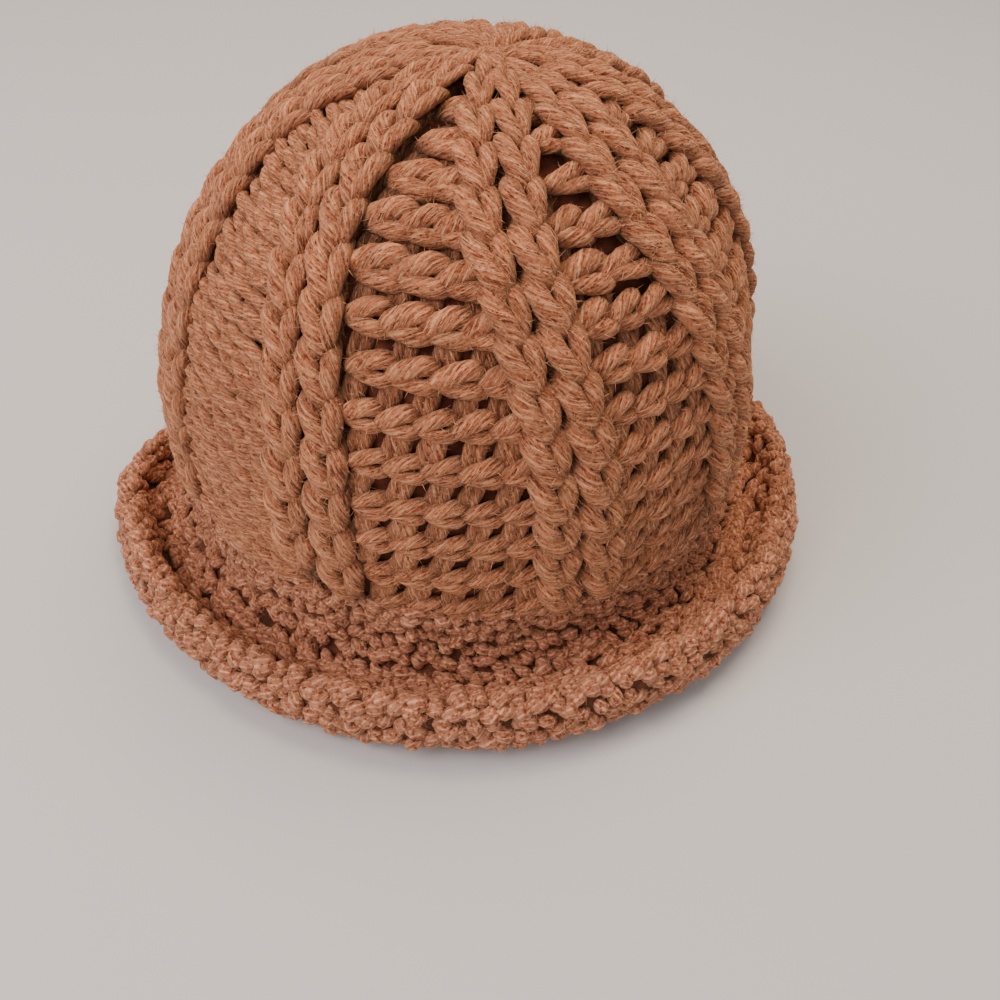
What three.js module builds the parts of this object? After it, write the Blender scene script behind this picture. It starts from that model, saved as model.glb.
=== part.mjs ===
// Knit bucket hat in bulky yarn, with nine pairs of raised ribs and a fat rolled brim.
// Millimetres, +Z up. The hat rests on the flat underside of its brim at z = 0, its front towards -Y.
// Three sorts of solid: the ridged dome, the rib columns that stand on it, and the rolled brim.

import * as THREE from 'three';

// Outside envelope of the dome, measured over the ribs.
const DOME_RADIUS = 102;
const DOME_HEIGHT = 171;
const WIDEST_HEIGHT = 60.7;
const SIDE_EXPONENT = 2.31;
const TOP_EXPONENT = 1.84;
const FOOT_TAPER = 0.03;
const PROFILE_SAMPLES = 720;

// The dome leans a little forward, and its top a little to the right.
const LEAN_X = -6.9;
const LEAN_X_SQUARED = 10.8;
const LEAN_Y = -7.5;

// Rounds of stitches. Arc lengths run from the top of the dome down its side.
const ROUND_PITCH = 13.49;
const FIRST_GROOVE = 19.87;
const ROUND_COUNT = 13;
const CROWN_END_ARC = 196;
const CENTRE_ARC = 6;

// Depths below the envelope.
const CHANNEL_DEPTH = 7.9;
const CENTRE_DEPTH = 3.2;
const LINING_DEPTH = 13.4;
const PANEL_EDGE_DROP = 1.3;
const RIB_CLEARANCE = 0.42;
const COLUMN_CLEARANCE = 0.25;

const RIB_PAIRS = 9;
const RIB_FIRST_ARC = 8.2;
const RIB_LAST_ARC = 190;
const RIB_STEPS_PER_ROUND = 2;
const CHEVRON_DROP = 4.6;
const JOIN_NARROWING = 0.9;
const JOIN_DROP = 1.5;
const MIDDLE_DIP = 0.7;
const SHOULDER_SHARE = 0.92;
const SHOULDER_DROP = 0.27;

const BRIM_COLUMNS = 60;
const STITCH_BUMP = 0.55;

const YARN_COLOUR = 0xb5794f;
const RIB_COLOUR = 0xbd8156;
const BRIM_COLOUR = 0xb07549;

// Relief of one round, as a share of the pitch below its groove, with the depth of the fabric there.
const ROUND_RELIEF = [
  { share: 0.0, depth: 8.6 },
  { share: 0.36, depth: 5.2 },
  { share: 0.74, depth: 4.3 },
];

// Width of one column of V stitches and how far it stands above the fabric, down the side.
const COLUMN_SIZES = [
  { arc: 8, width: 2.1, height: 4.6 },
  { arc: 20, width: 5.6, height: 6.2 },
  { arc: 33, width: 8.7, height: 7.2 },
  { arc: 56, width: 10.6, height: 7.5 },
  { arc: 110, width: 11.3, height: 7.5 },
  { arc: 141, width: 12.2, height: 7.5 },
  { arc: 160, width: 12.8, height: 7.5 },
  { arc: 196, width: 12.8, height: 7.1 },
];

// The rounds spiral slightly, so the ribs drift in azimuth (degrees) on their way down.
const TWIST = [
  { arc: 0, turn: -20.5 },
  { arc: 33, turn: -18.8 },
  { arc: 60, turn: -16 },
  { arc: 74, turn: -13.6 },
  { arc: 87, turn: -10.4 },
  { arc: 114, turn: -5 },
  { arc: 128, turn: -2.8 },
  { arc: 141, turn: -1.2 },
  { arc: 160, turn: 0 },
  { arc: 195, turn: 2.6 },
];

// Azimuth of each rib pair where the dome is widest: 0 is the front, +90 is +X.
const RIB_AZIMUTHS = [21, 60, 101, 139.5, 177.5, 215.5, 254, 293.4, 335];

// Brim section, walked from the top of the wall's outside, through the trough, over the rolled edge,
// along the underside and up the inside. wave: how far the point follows the brim's waves.
const BRIM_SECTION = [
  { place: 'wall top outside', radius: 96.9, height: 32.6, wave: 0, bump: 0 },
  { place: 'wall outside', radius: 97.6, height: 20, wave: 0.1, bump: 0.5 },
  { place: 'trough wall side', radius: 101, height: 11, wave: 0.2, bump: 0.6 },
  { place: 'trough bottom', radius: 106, height: 8.4, wave: 0.4, bump: 0.3 },
  { place: 'roll inside', radius: 111.4, height: 13.6, wave: 0.8, bump: 0.8 },
  { place: 'roll inside top', radius: 112.8, height: 21, wave: 1, bump: 1 },
  { place: 'roll top', radius: 117.4, height: 25, wave: 1, bump: 1 },
  { place: 'roll outside top', radius: 122.2, height: 21.6, wave: 1, bump: 1 },
  { place: 'roll outside', radius: 124.6, height: 13.6, wave: 0.9, bump: 1 },
  { place: 'roll low', radius: 123.4, height: 5.8, wave: 0.7, bump: 0.8 },
  { place: 'rest outer edge', radius: 115.5, height: 0, wave: 0, bump: 0 },
  { place: 'rest inner edge', radius: 102, height: 0, wave: 0, bump: 0 },
  { place: 'inside low', radius: 93.6, height: 4.6, wave: 0, bump: 0.4 },
  { place: 'inside', radius: 89.8, height: 15, wave: 0, bump: 0.3 },
  { place: 'wall top inside', radius: 89.2, height: 32.6, wave: 0, bump: 0 },
];

// Waves of the rolled edge: reach moves it outward and rise moves it upward.
const BRIM_WAVES = [
  { azimuth: -180, reach: -2, rise: 0 },
  { azimuth: -140, reach: -6, rise: -2 },
  { azimuth: -112, reach: -10, rise: -4 },
  { azimuth: -96, reach: -11, rise: -4.5 },
  { azimuth: -88, reach: -4, rise: -4 },
  { azimuth: -80, reach: 0.5, rise: -3.5 },
  { azimuth: -38, reach: 0, rise: -2 },
  { azimuth: -5, reach: 0.6, rise: 0.5 },
  { azimuth: 35, reach: -0.6, rise: 2.6 },
  { azimuth: 70, reach: 0.4, rise: 1.5 },
  { azimuth: 102, reach: 2.6, rise: 0.2 },
  { azimuth: 125, reach: 1.5, rise: 0 },
  { azimuth: 150, reach: -1, rise: 0 },
  { azimuth: 180, reach: -2, rise: 0 },
];

// Reads a table at a place between two of its rows, in a straight line from one row to the next.
function readTable(rows, along, place, column) {
  const last = rows.length - 1;
  if (place <= rows[0][along]) {
    return rows[0][column];
  }
  for (let index = 0; index < last; index += 1) {
    const from = rows[index];
    const to = rows[index + 1];
    if (place <= to[along]) {
      const share = (place - from[along]) / (to[along] - from[along]);
      return from[column] + (to[column] - from[column]) * share;
    }
  }
  return rows[last][column];
}

// One point of the envelope's profile. Above the widest height it is a superellipse, below it a taper.
function envelopePoint(height) {
  if (height >= WIDEST_HEIGHT) {
    const rise = (height - WIDEST_HEIGHT) / (DOME_HEIGHT - WIDEST_HEIGHT);
    const cosine = Math.min(1, rise ** (TOP_EXPONENT / 2));
    return DOME_RADIUS * Math.sqrt(1 - cosine * cosine) ** (2 / SIDE_EXPONENT);
  }
  const fall = (WIDEST_HEIGHT - height) / WIDEST_HEIGHT;
  return DOME_RADIUS * (1 - FOOT_TAPER * fall * fall);
}

// The profile as points at known arc lengths from the top, dense near the top where it turns fast.
function measureProfile() {
  const points = [];
  let arc = 0;
  for (let index = 0; index <= PROFILE_SAMPLES; index += 1) {
    const share = index / PROFILE_SAMPLES;
    const height = DOME_HEIGHT * (1 - share * share);
    const radius = index === 0 ? 0 : envelopePoint(height);
    if (index > 0) {
      const before = points[index - 1];
      arc += Math.hypot(radius - before.radius, height - before.height);
    }
    points.push({ arc, radius, height });
  }
  return points;
}

const PROFILE = measureProfile();

// Place on the profile at an arc length, sunk along the inward normal by a depth.
function profileAt(arc, depth) {
  const reach = 1.5;
  const radius = readTable(PROFILE, 'arc', arc, 'radius');
  const height = readTable(PROFILE, 'arc', arc, 'height');
  const aheadRadius = readTable(PROFILE, 'arc', arc + reach, 'radius');
  const aheadHeight = readTable(PROFILE, 'arc', arc + reach, 'height');
  const behindArc = Math.max(0, arc - reach);
  const behindRadius = arc < reach ? 0 : readTable(PROFILE, 'arc', behindArc, 'radius');
  const behindHeight = readTable(PROFILE, 'arc', behindArc, 'height');
  const run = aheadRadius - behindRadius;
  const drop = behindHeight - aheadHeight;
  const length = Math.hypot(run, drop);
  return { radius: Math.max(0, radius - (depth * drop) / length), height: height - (depth * run) / length };
}

// Puts a place given by radius, height and azimuth in degrees onto the leaning axis of the hat.
function placeOnHat(radius, height, azimuth) {
  const angle = THREE.MathUtils.degToRad(azimuth);
  const share = Math.max(0, height) / DOME_HEIGHT;
  const shiftX = LEAN_X * share + LEAN_X_SQUARED * share * share;
  const shiftY = LEAN_Y * share;
  return new THREE.Vector3(radius * Math.sin(angle) + shiftX, -radius * Math.cos(angle) + shiftY, height);
}

function domePoint(arc, depth, azimuth) {
  const place = profileAt(arc, depth);
  return placeOnHat(place.radius, place.height, azimuth + readTable(TWIST, 'arc', arc, 'turn'));
}

// Angle in degrees that a length takes up along the round at an arc length of the envelope.
function lengthToAngle(length, arc) {
  return THREE.MathUtils.radToDeg(length / Math.max(1, profileAt(arc, CHANNEL_DEPTH).radius));
}

// Gathers points and triangles. Rings have the same number of points and are walked side by side.
class Shell {
  constructor() {
    this.points = [];
    this.triangles = [];
  }

  addPoint(point) {
    this.points.push(point.x, point.y, point.z);
    return this.points.length / 3 - 1;
  }

  addRing(ring) {
    return ring.map((point) => this.addPoint(point));
  }

  joinRings(upper, lower) {
    const count = upper.length;
    for (let index = 0; index < count; index += 1) {
      const next = (index + 1) % count;
      this.triangles.push(upper[index], lower[index], lower[next]);
      this.triangles.push(upper[index], lower[next], upper[next]);
    }
  }

  closeTop(ring, apex) {
    ring.forEach((corner, index) => {
      this.triangles.push(apex, corner, ring[(index + 1) % ring.length]);
    });
  }

  closeBottom(ring, apex) {
    ring.forEach((corner, index) => {
      this.triangles.push(apex, ring[(index + 1) % ring.length], corner);
    });
  }

  toGeometry() {
    const geometry = new THREE.BufferGeometry();
    geometry.setAttribute('position', new THREE.Float32BufferAttribute(this.points, 3));
    geometry.setIndex(this.triangles);
    geometry.computeVertexNormals();
    return geometry;
  }
}

function makeMesh(name, shell, colour) {
  const material = new THREE.MeshStandardMaterial({ color: colour, roughness: 0.95, metalness: 0 });
  const mesh = new THREE.Mesh(shell.toGeometry(), material);
  mesh.name = name;
  return mesh;
}

// Azimuths of the fabric's grid: two at the sides of each rib channel and three across the panel.
function fabricColumns(arc) {
  const columns = [];
  for (let pair = 0; pair < RIB_PAIRS; pair += 1) {
    const here = RIB_AZIMUTHS[pair];
    const nextAzimuth = RIB_AZIMUTHS[(pair + 1) % RIB_PAIRS] + (pair === RIB_PAIRS - 1 ? 360 : 0);
    const halfChannel = lengthToAngle(readTable(COLUMN_SIZES, 'arc', arc, 'width') + 2 * COLUMN_CLEARANCE, arc);
    const from = here + halfChannel;
    const to = nextAzimuth - halfChannel;
    const across = Math.max(0, to - from);
    columns.push({ azimuth: here - halfChannel, panel: 0 });
    columns.push({ azimuth: from, panel: 0 });
    columns.push({ azimuth: from + 0.16 * across, panel: 0.8 });
    columns.push({ azimuth: from + 0.5 * across, panel: 1 });
    columns.push({ azimuth: from + 0.84 * across, panel: 0.8 });
  }
  return columns;
}

// Depth of the fabric for a ring of one round; rings in the top rounds have hardly any panel.
function fabricDepth(arc, relief, panel) {
  const panelDepth = relief + (1 - panel) * PANEL_EDGE_DROP;
  const grown = THREE.MathUtils.smoothstep(arc, FIRST_GROOVE, FIRST_GROOVE + 2 * ROUND_PITCH);
  return panel === 0 ? CHANNEL_DEPTH : CHANNEL_DEPTH + (panelDepth - CHANNEL_DEPTH) * grown;
}

function fabricRing(arc, relief) {
  return fabricColumns(arc).map((column) => domePoint(arc, fabricDepth(arc, relief, column.panel), column.azimuth));
}

// The dome: ridged outside, smooth inside, open at the bottom where the brim takes over.
function buildCrown() {
  const shell = new Shell();
  const rings = [];
  rings.push(shell.addRing(fabricRing(CENTRE_ARC, CHANNEL_DEPTH)));
  for (let round = 0; round < ROUND_COUNT; round += 1) {
    ROUND_RELIEF.forEach((row) => {
      const arc = FIRST_GROOVE + (round + row.share) * ROUND_PITCH;
      rings.push(shell.addRing(fabricRing(arc, row.depth)));
    });
  }
  rings.push(shell.addRing(fabricRing(CROWN_END_ARC, CHANNEL_DEPTH - 1)));
  const insideArcs = [196, 176, 156, 136, 118, 102, 87, 72, 54, 32];
  insideArcs.forEach((arc) => {
    rings.push(shell.addRing(fabricColumns(arc).map((column) => domePoint(arc, LINING_DEPTH, column.azimuth))));
  });
  for (let index = 0; index + 1 < rings.length; index += 1) {
    shell.joinRings(rings[index], rings[index + 1]);
  }
  shell.closeTop(rings[0], shell.addPoint(domePoint(0, CENTRE_DEPTH, 0)));
  shell.closeBottom(rings[rings.length - 1], shell.addPoint(domePoint(0, LINING_DEPTH, 0)));
  return makeMesh('crown_fabric', shell, YARN_COLOUR);
}

// Section of one column of V stitches. Its middle lags behind its sides, which gives the V.
function ribRing(arc, azimuth, side, join) {
  const size = {
    width: readTable(COLUMN_SIZES, 'arc', arc, 'width'),
    height: readTable(COLUMN_SIZES, 'arc', arc, 'height'),
  };
  const grown = THREE.MathUtils.smoothstep(arc, RIB_FIRST_ARC, 45);
  const narrowing = join ? 1 - (1 - JOIN_NARROWING) * grown : 1;
  const drop = join ? JOIN_DROP * grown : 0;
  const middle = COLUMN_CLEARANCE + size.width / 2;
  const half = (size.width / 2) * narrowing;
  const baseDepth = CHANNEL_DEPTH - RIB_CLEARANCE;
  const crestDepth = baseDepth - size.height + drop;
  const lag = CHEVRON_DROP * grown;
  const corners = [
    { across: -half, depth: baseDepth, lag: 0 },
    { across: -half * SHOULDER_SHARE, depth: crestDepth + size.height * SHOULDER_DROP, lag: 0 },
    { across: 0, depth: crestDepth + MIDDLE_DIP * (join ? 1 : 0), lag },
    { across: half * SHOULDER_SHARE, depth: crestDepth + size.height * SHOULDER_DROP, lag: 0 },
    { across: half, depth: baseDepth, lag: 0 },
  ];
  return corners.map((corner) => {
    const at = Math.min(RIB_LAST_ARC + CHEVRON_DROP, arc + corner.lag);
    return domePoint(at, corner.depth, azimuth + lengthToAngle(side * middle + corner.across, arc));
  });
}

function buildRibColumn(pair, side) {
  const shell = new Shell();
  const rings = [];
  const stepLength = ROUND_PITCH / RIB_STEPS_PER_ROUND;
  const steps = Math.round((RIB_LAST_ARC - RIB_FIRST_ARC) / stepLength);
  for (let step = 0; step <= steps; step += 1) {
    const arc = RIB_FIRST_ARC + ((RIB_LAST_ARC - RIB_FIRST_ARC) * step) / steps;
    rings.push(shell.addRing(ribRing(arc, RIB_AZIMUTHS[pair], side, step % 2 === 1)));
  }
  for (let index = 0; index + 1 < rings.length; index += 1) {
    shell.joinRings(rings[index], rings[index + 1]);
  }
  const top = rings[0];
  const foot = rings[rings.length - 1];
  for (let corner = 1; corner + 1 < top.length; corner += 1) {
    shell.triangles.push(top[0], top[corner], top[corner + 1]);
    shell.triangles.push(foot[0], foot[corner + 1], foot[corner]);
  }
  const sideName = side < 0 ? 'left' : 'right';
  return makeMesh(`rib_${pair + 1}_${sideName}`, shell, RIB_COLOUR);
}

// The rolled brim, closed on itself both ways. Coarse bumps stand for the stitches of its rounds.
function buildBrim() {
  const shell = new Shell();
  const rings = BRIM_SECTION.map((row, rowIndex) => {
    const ring = [];
    for (let column = 0; column < BRIM_COLUMNS; column += 1) {
      const azimuth = -180 + (360 * column) / BRIM_COLUMNS;
      const reach = readTable(BRIM_WAVES, 'azimuth', azimuth, 'reach') * row.wave;
      const rise = readTable(BRIM_WAVES, 'azimuth', azimuth, 'rise') * row.wave;
      const bump = ((rowIndex + column) % 2 === 0 ? 1 : -1) * STITCH_BUMP * row.bump;
      ring.push(placeOnHat(row.radius + reach + bump, row.height + rise, azimuth));
    }
    return shell.addRing(ring);
  });
  rings.forEach((ring, index) => {
    shell.joinRings(ring, rings[(index + 1) % rings.length]);
  });
  return makeMesh('rolled_brim', shell, BRIM_COLOUR);
}

// Moves the whole hat sideways so that the middle of its plan is at x = 0, y = 0.
function centrePlan(group) {
  const box = new THREE.Box3().setFromObject(group);
  const middle = box.getCenter(new THREE.Vector3());
  group.children.forEach((mesh) => {
    mesh.geometry.translate(-middle.x, -middle.y, 0);
  });
}

const hat = new THREE.Group();
hat.name = 'knit_bucket_hat';
hat.add(buildCrown());
for (let pair = 0; pair < RIB_PAIRS; pair += 1) {
  hat.add(buildRibColumn(pair, -1));
  hat.add(buildRibColumn(pair, 1));
}
hat.add(buildBrim());
centrePlan(hat);

export default hat;
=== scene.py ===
import sys
import logging
import math
from collections.abc import Callable
from dataclasses import dataclass, replace
from enum import Enum, IntEnum
from functools import partial

import bpy
import numpy as np
from mathutils import Matrix, Vector


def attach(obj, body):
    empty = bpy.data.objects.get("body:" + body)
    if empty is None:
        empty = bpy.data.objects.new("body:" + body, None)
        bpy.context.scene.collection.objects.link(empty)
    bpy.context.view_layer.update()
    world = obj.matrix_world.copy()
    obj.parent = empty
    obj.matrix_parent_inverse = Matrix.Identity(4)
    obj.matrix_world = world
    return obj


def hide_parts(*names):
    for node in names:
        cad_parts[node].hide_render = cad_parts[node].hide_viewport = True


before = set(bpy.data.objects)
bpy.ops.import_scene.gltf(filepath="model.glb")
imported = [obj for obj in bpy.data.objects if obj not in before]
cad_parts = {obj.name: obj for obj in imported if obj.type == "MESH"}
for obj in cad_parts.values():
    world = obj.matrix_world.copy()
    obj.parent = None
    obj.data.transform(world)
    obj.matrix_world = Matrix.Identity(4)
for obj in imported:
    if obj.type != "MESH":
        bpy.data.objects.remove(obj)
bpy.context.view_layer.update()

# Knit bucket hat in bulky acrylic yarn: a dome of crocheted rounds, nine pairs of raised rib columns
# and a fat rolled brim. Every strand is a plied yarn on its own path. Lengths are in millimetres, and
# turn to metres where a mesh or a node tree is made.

Array = np.ndarray
Pair = tuple[float, float]
Table =tuple[tuple[float, ...], ...]
Thing = bpy.types.Object
Material = bpy.types.Material
Adder = Callable[..., bpy.types.Node]

LOG = logging.getLogger("knit_bucket_hat")
MM = 0.001
BODY = "root"
# Share of a stitch by which the chains start later, for the left and right column of each rib pair.
CHAIN_PHASES: Table = ((0.42, 0.25), (0.5, 0.3), (0.45, 0.2), (0.6, 0.35), (0.5, 0.25), (0.4, 0.55),
                       (0.3, 0.5), (0.45, 0.2), (0.6, 0.1))


def linear(code: str) -> tuple[float, ...]:
    """Turns an sRGB hex colour into linear light.

    Args:
        code: Colour as "#rrggbb".

    Returns:
        Linear red, green, blue and an alpha of one.
    """
    parts = [int(code[place:place + 2], 16) / 255 for place in (1, 3, 5)]
    light = [part / 12.92 if part <= 0.04045 else ((part + 0.055) / 1.055) ** 2.4 for part in parts]
    return (*light, 1.0)


def add_node(tree: bpy.types.NodeTree, kind: str, sockets: dict | None = None,
             keep: dict[str, str] | None = None, **settings: object) -> bpy.types.Node:
    """Adds a node with its settings, and links or fills its inputs.

    Args:
        tree: Node tree that gets the node.
        kind: Blender's name for the kind of node.
        sockets: Input name or number, with the output or node to link to it or the value to put in it.
        keep: Names and kinds of the values that the node keeps for later.
        settings: Properties of the node itself.

    Returns:
        The new node.
    """
    node = tree.nodes.new(kind)
    for name, value in settings.items():
        setattr(node, name, value)
    for name, value in (keep or {}).items():
        node.capture_items.new(value, name)
    for key, value in (sockets or {}).items():
        if isinstance(value, bpy.types.Node):
            value = value.outputs[0]
        if isinstance(value, bpy.types.NodeSocket):
            tree.links.new(value, node.inputs[key])
        else:
            node.inputs[key].default_value = value
    return node


def put_in_scene(name: str, data: bpy.types.ID) -> Thing:
    """Makes an object of a mesh, lamp or camera.

    Args:
        name: Name of the object.
        data: What the object shows.

    Returns:
        The object, linked to the scene.
    """
    thing = bpy.data.objects.new(name, data)
    bpy.context.scene.collection.objects.link(thing)
    return thing


def join(parts: list[Thing], name: str) -> Thing:
    """Joins mesh objects into the first.

    Args:
        parts: Objects to join.
        name: New name of the object and its mesh.

    Returns:
        The one object left.
    """
    bpy.ops.object.select_all(action="DESELECT")
    for part in parts:
        part.select_set(True)
    bpy.context.view_layer.objects.active = parts[0]
    bpy.ops.object.join()
    parts[0].name = parts[0].data.name = name
    return parts[0]


def finish_piece(piece: Thing, *nodes: str) -> None:
    """Tells the frame what a piece rides on and which solids it stands for, and reports it.

    Args:
        piece: Finished piece.
        nodes: Solids that it stands for.
    """
    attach(piece, BODY)
    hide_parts(*nodes)
    faces = sum(len(polygon.vertices) - 2 for polygon in piece.data.polygons)
    LOG.info("%s: %d triangles, stands for %s", piece.name, faces, ", ".join(nodes))


def smooth(low: float, high: float, value: Array) -> Array:
    """Eases from 0 at low to 1 at high."""
    share = np.clip((np.asarray(value, float) - low) / (high - low), 0, 1)
    return share * share * (3 - 2 * share)


def read_rows(rows: Table, place: Array | float, column: int = 1) -> Array:
    """Reads a column of a table at places between its rows, which start with their own place."""
    table = np.array(rows, float)
    return np.interp(place, table[:, 0], table[:, column])


def rounded(rows: Table, steps: int = 12) -> Array:
    """Rounds the corners of a walk through a table's rows.

    Args:
        rows: Rows to walk through.
        steps: Steps from one row to the next.

    Returns:
        The finer rows.
    """
    table = np.array(rows, float)
    padded = np.vstack([2 * table[0] - table[1], table, 2 * table[-1] - table[-2]])
    fine = []
    for index in range(1, len(padded) - 2):
        before, start, end, after = padded[index - 1:index + 3]
        for t in np.linspace(0, 1, steps, endpoint=False):
            fine.append(0.5 * (2 * start + (end - before) * t
                               + (2 * before - 5 * start + 4 * end - after) * t ** 2
                               + (3 * start - before - 3 * end + after) * t ** 3))
    return np.array(fine + [table[-1]])


@dataclass(frozen=True)
class HatForm:
    """The dome's envelope, its lean and its ribs, with the sizes of the part's solids (mm, degrees)."""

    radius: float = 102
    height: float = 171
    widest: float = 60.7
    side_exponent: float = 2.31
    top_exponent: float = 1.84
    foot_taper: float = 0.03
    lean_x: Pair = (-6.9, 10.8)
    lean_y: float = -7.5
    plan_middle: Pair = (1.329, -1.714)
    pitch: float = 13.49
    first_groove: float = 19.87
    crown_end: float = 196
    channel_depth: float = 7.9
    # No strand goes deeper than this, so that the hat's inside stays plain.
    deepest: float = 12.4
    clearance: float = 0.25
    rib_azimuths: tuple[float, ...] = (21, 60, 101, 139.5, 177.5, 215.5, 254, 293.4, 335)
    # Arc length from the top, and the width of a rib column there.
    column_widths: Table = (
        (8, 2.1), (20, 5.6), (33, 8.7), (56, 10.6), (110, 11.3), (141, 12.2), (160, 12.8), (196, 12.8))
    # Arc length from the top, and the ribs' drift to one side there.
    twist: Table = (
        (0, -20.5), (33, -18.8), (60, -16), (74, -13.6), (87, -10.4), (114, -5), (128, -2.8),
        (141, -1.2), (160, 0), (195, 2.6))
    samples: int = 720
    slope_reach: float = 1.5
    probe: float = 2

    def __post_init__(self) -> None:
        """Measures the profile once: arc length from the top, radius and height."""
        share = np.arange(self.samples + 1) / self.samples
        height = self.height * (1 - share * share)
        rise = np.clip((height - self.widest) / (self.height - self.widest), 0, 1)
        dome = self.radius * np.clip(1 - rise ** self.top_exponent, 0, 1) ** (1 / self.side_exponent)
        fall = np.clip((self.widest - height) / self.widest, 0, 1)
        foot = self.radius * (1 - self.foot_taper * fall * fall)
        radius = np.where(height >= self.widest, dome, foot)
        radius[0] = 0
        arcs = np.r_[0, np.cumsum(np.hypot(np.diff(radius), np.diff(height)))]
        object.__setattr__(self, "profile", np.stack([arcs, radius, height]))

    def section(self, arc: Array, depth: Array) -> tuple[Array, Array]:
        """Finds a place on the profile, sunk by a depth along the inward normal.

        Args:
            arc: Arc length from the top.
            depth: Depth under the envelope.

        Returns:
            Radius and height.
        """
        arcs, radii, heights = self.profile
        ahead, behind = arc + self.slope_reach, np.maximum(arc - self.slope_reach, 0)
        run = np.interp(ahead, arcs, radii) - np.interp(behind, arcs, radii)
        drop = np.interp(behind, arcs, heights) - np.interp(ahead, arcs, heights)
        length = np.hypot(run, drop)
        radius = np.interp(arc, arcs, radii) - depth * drop / length
        return np.maximum(radius, 0), np.interp(arc, arcs, heights) - depth * run / length

    def place(self, radius: Array, height: Array, azimuth: Array) -> Array:
        """Puts places round the leaning axis into the part's frame.

        Args:
            radius: Distance from the axis.
            height: Height above the floor.
            azimuth: Degrees from the front towards +X.

        Returns:
            Points, last axis x, y, z.
        """
        radius, height, azimuth = np.broadcast_arrays(radius, height, azimuth)
        angle = np.radians(azimuth)
        share = np.maximum(height, 0) / self.height
        x = radius * np.sin(angle) + self.lean_x[0] * share + self.lean_x[1] * share ** 2
        y = -radius * np.cos(angle) + self.lean_y * share
        return np.stack([x - self.plan_middle[0], y - self.plan_middle[1], height], axis=-1)

    def on_dome(self, arc: Array, depth: Array | float, azimuth: Array) -> Array:
        """Places points by arc length, depth and azimuth, with the drift of the ribs."""
        radius, height = self.section(np.asarray(arc, float), np.asarray(depth, float))
        return self.place(radius, height, azimuth + read_rows(self.twist, arc))

    def outward(self, arc: Array, azimuth: Array) -> Array:
        """Gives the direction away from the fabric at places of the dome."""
        gap = self.on_dome(arc, 0, azimuth) - self.on_dome(arc, self.probe, azimuth)
        return gap / np.linalg.norm(gap, axis=-1, keepdims=True)

    def angle_of(self, length: Array | float, arc: Array | float) -> Array:
        """Gives the degrees that a length takes up along the round at an arc length."""
        radius, _ = self.section(np.asarray(arc, float), self.channel_depth)
        return np.degrees(length / np.maximum(radius, 1))

    def groove_arc(self, rounds: float) -> float:
        """Gives the arc length that lies this many rounds below the first groove."""
        return self.first_groove + rounds * self.pitch


@dataclass
class Strand:
    """One length of yarn: centre line, half thickness, way out of the fabric, depth below the crests."""

    points: Array
    radii: Array
    outward: Array
    sunk: Array


class StrandBasket:
    """Collects strands and lays them out as a mesh of edges with the values that the yarn tree reads."""

    # Each strand starts somewhere else on its yarn, up to this far along (m).
    longest_start: float = 0.4

    def __init__(self, seed: int) -> None:
        """Starts empty, with its own fixed source of small differences."""
        self.strands: list[Strand] = []
        self.random = np.random.default_rng(seed)

    def add(self, points: Array, radii: Array, outward: Array, sunk: Array | float) -> None:
        """Adds one strand."""
        radii, sunk = (np.broadcast_to(value, points.shape[:1]) for value in (radii, sunk))
        self.strands.append(Strand(points, radii, outward, sunk))

    def add_on_dome(self, form: HatForm, path: tuple[Array, Array, Array], radii: Array,
                    sunk: Array | float) -> None:
        """Adds one strand that lies on the dome.

        Args:
            form: The hat's form.
            path: Arc length, depth and azimuth of the strand's points.
            radii: Half the strand's thickness.
            sunk: Depth below the crests around it, for its shade.
        """
        arc, depth, azimuth = path
        self.add(form.on_dome(arc, depth, azimuth), radii, form.outward(arc, azimuth), sunk)

    def lay_out(self, name: str) -> Thing:
        """Makes the mesh of edges.

        Args:
            name: Name of the object.

        Returns:
            The object, with thickness, outward, sunk, phase and start stored on its points.
        """
        points, radii, outward, sunk = (
            np.concatenate([getattr(strand, key) for strand in self.strands])
            for key in ("points", "radii", "outward", "sunk"))
        counts = np.array([len(strand.points) for strand in self.strands])
        firsts = np.r_[0, np.cumsum(counts)[:-1]]
        edges = np.concatenate([np.stack([np.arange(count - 1), np.arange(1, count)], 1) + first
                                for count, first in zip(counts, firsts)])
        mesh = bpy.data.meshes.new(name)
        mesh.from_pydata((points * MM).tolist(), edges.tolist(), [])
        phase, start = (np.repeat(self.random.uniform(0, most, len(counts)), counts)
                        for most in (2 * math.pi, self.longest_start))
        for key, data in (("thickness", radii * MM), ("outward", outward), ("sunk", sunk * MM),
                          ("phase", phase), ("start", start)):
            kind, slot = ("FLOAT_VECTOR", "vector") if data.ndim == 2 else ("FLOAT", "value")
            attribute = mesh.attributes.new(key, kind, "POINT")
            attribute.data.foreach_set(slot, np.ascontiguousarray(data, dtype=np.float32).ravel())
        return put_in_scene(name, mesh)


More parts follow.
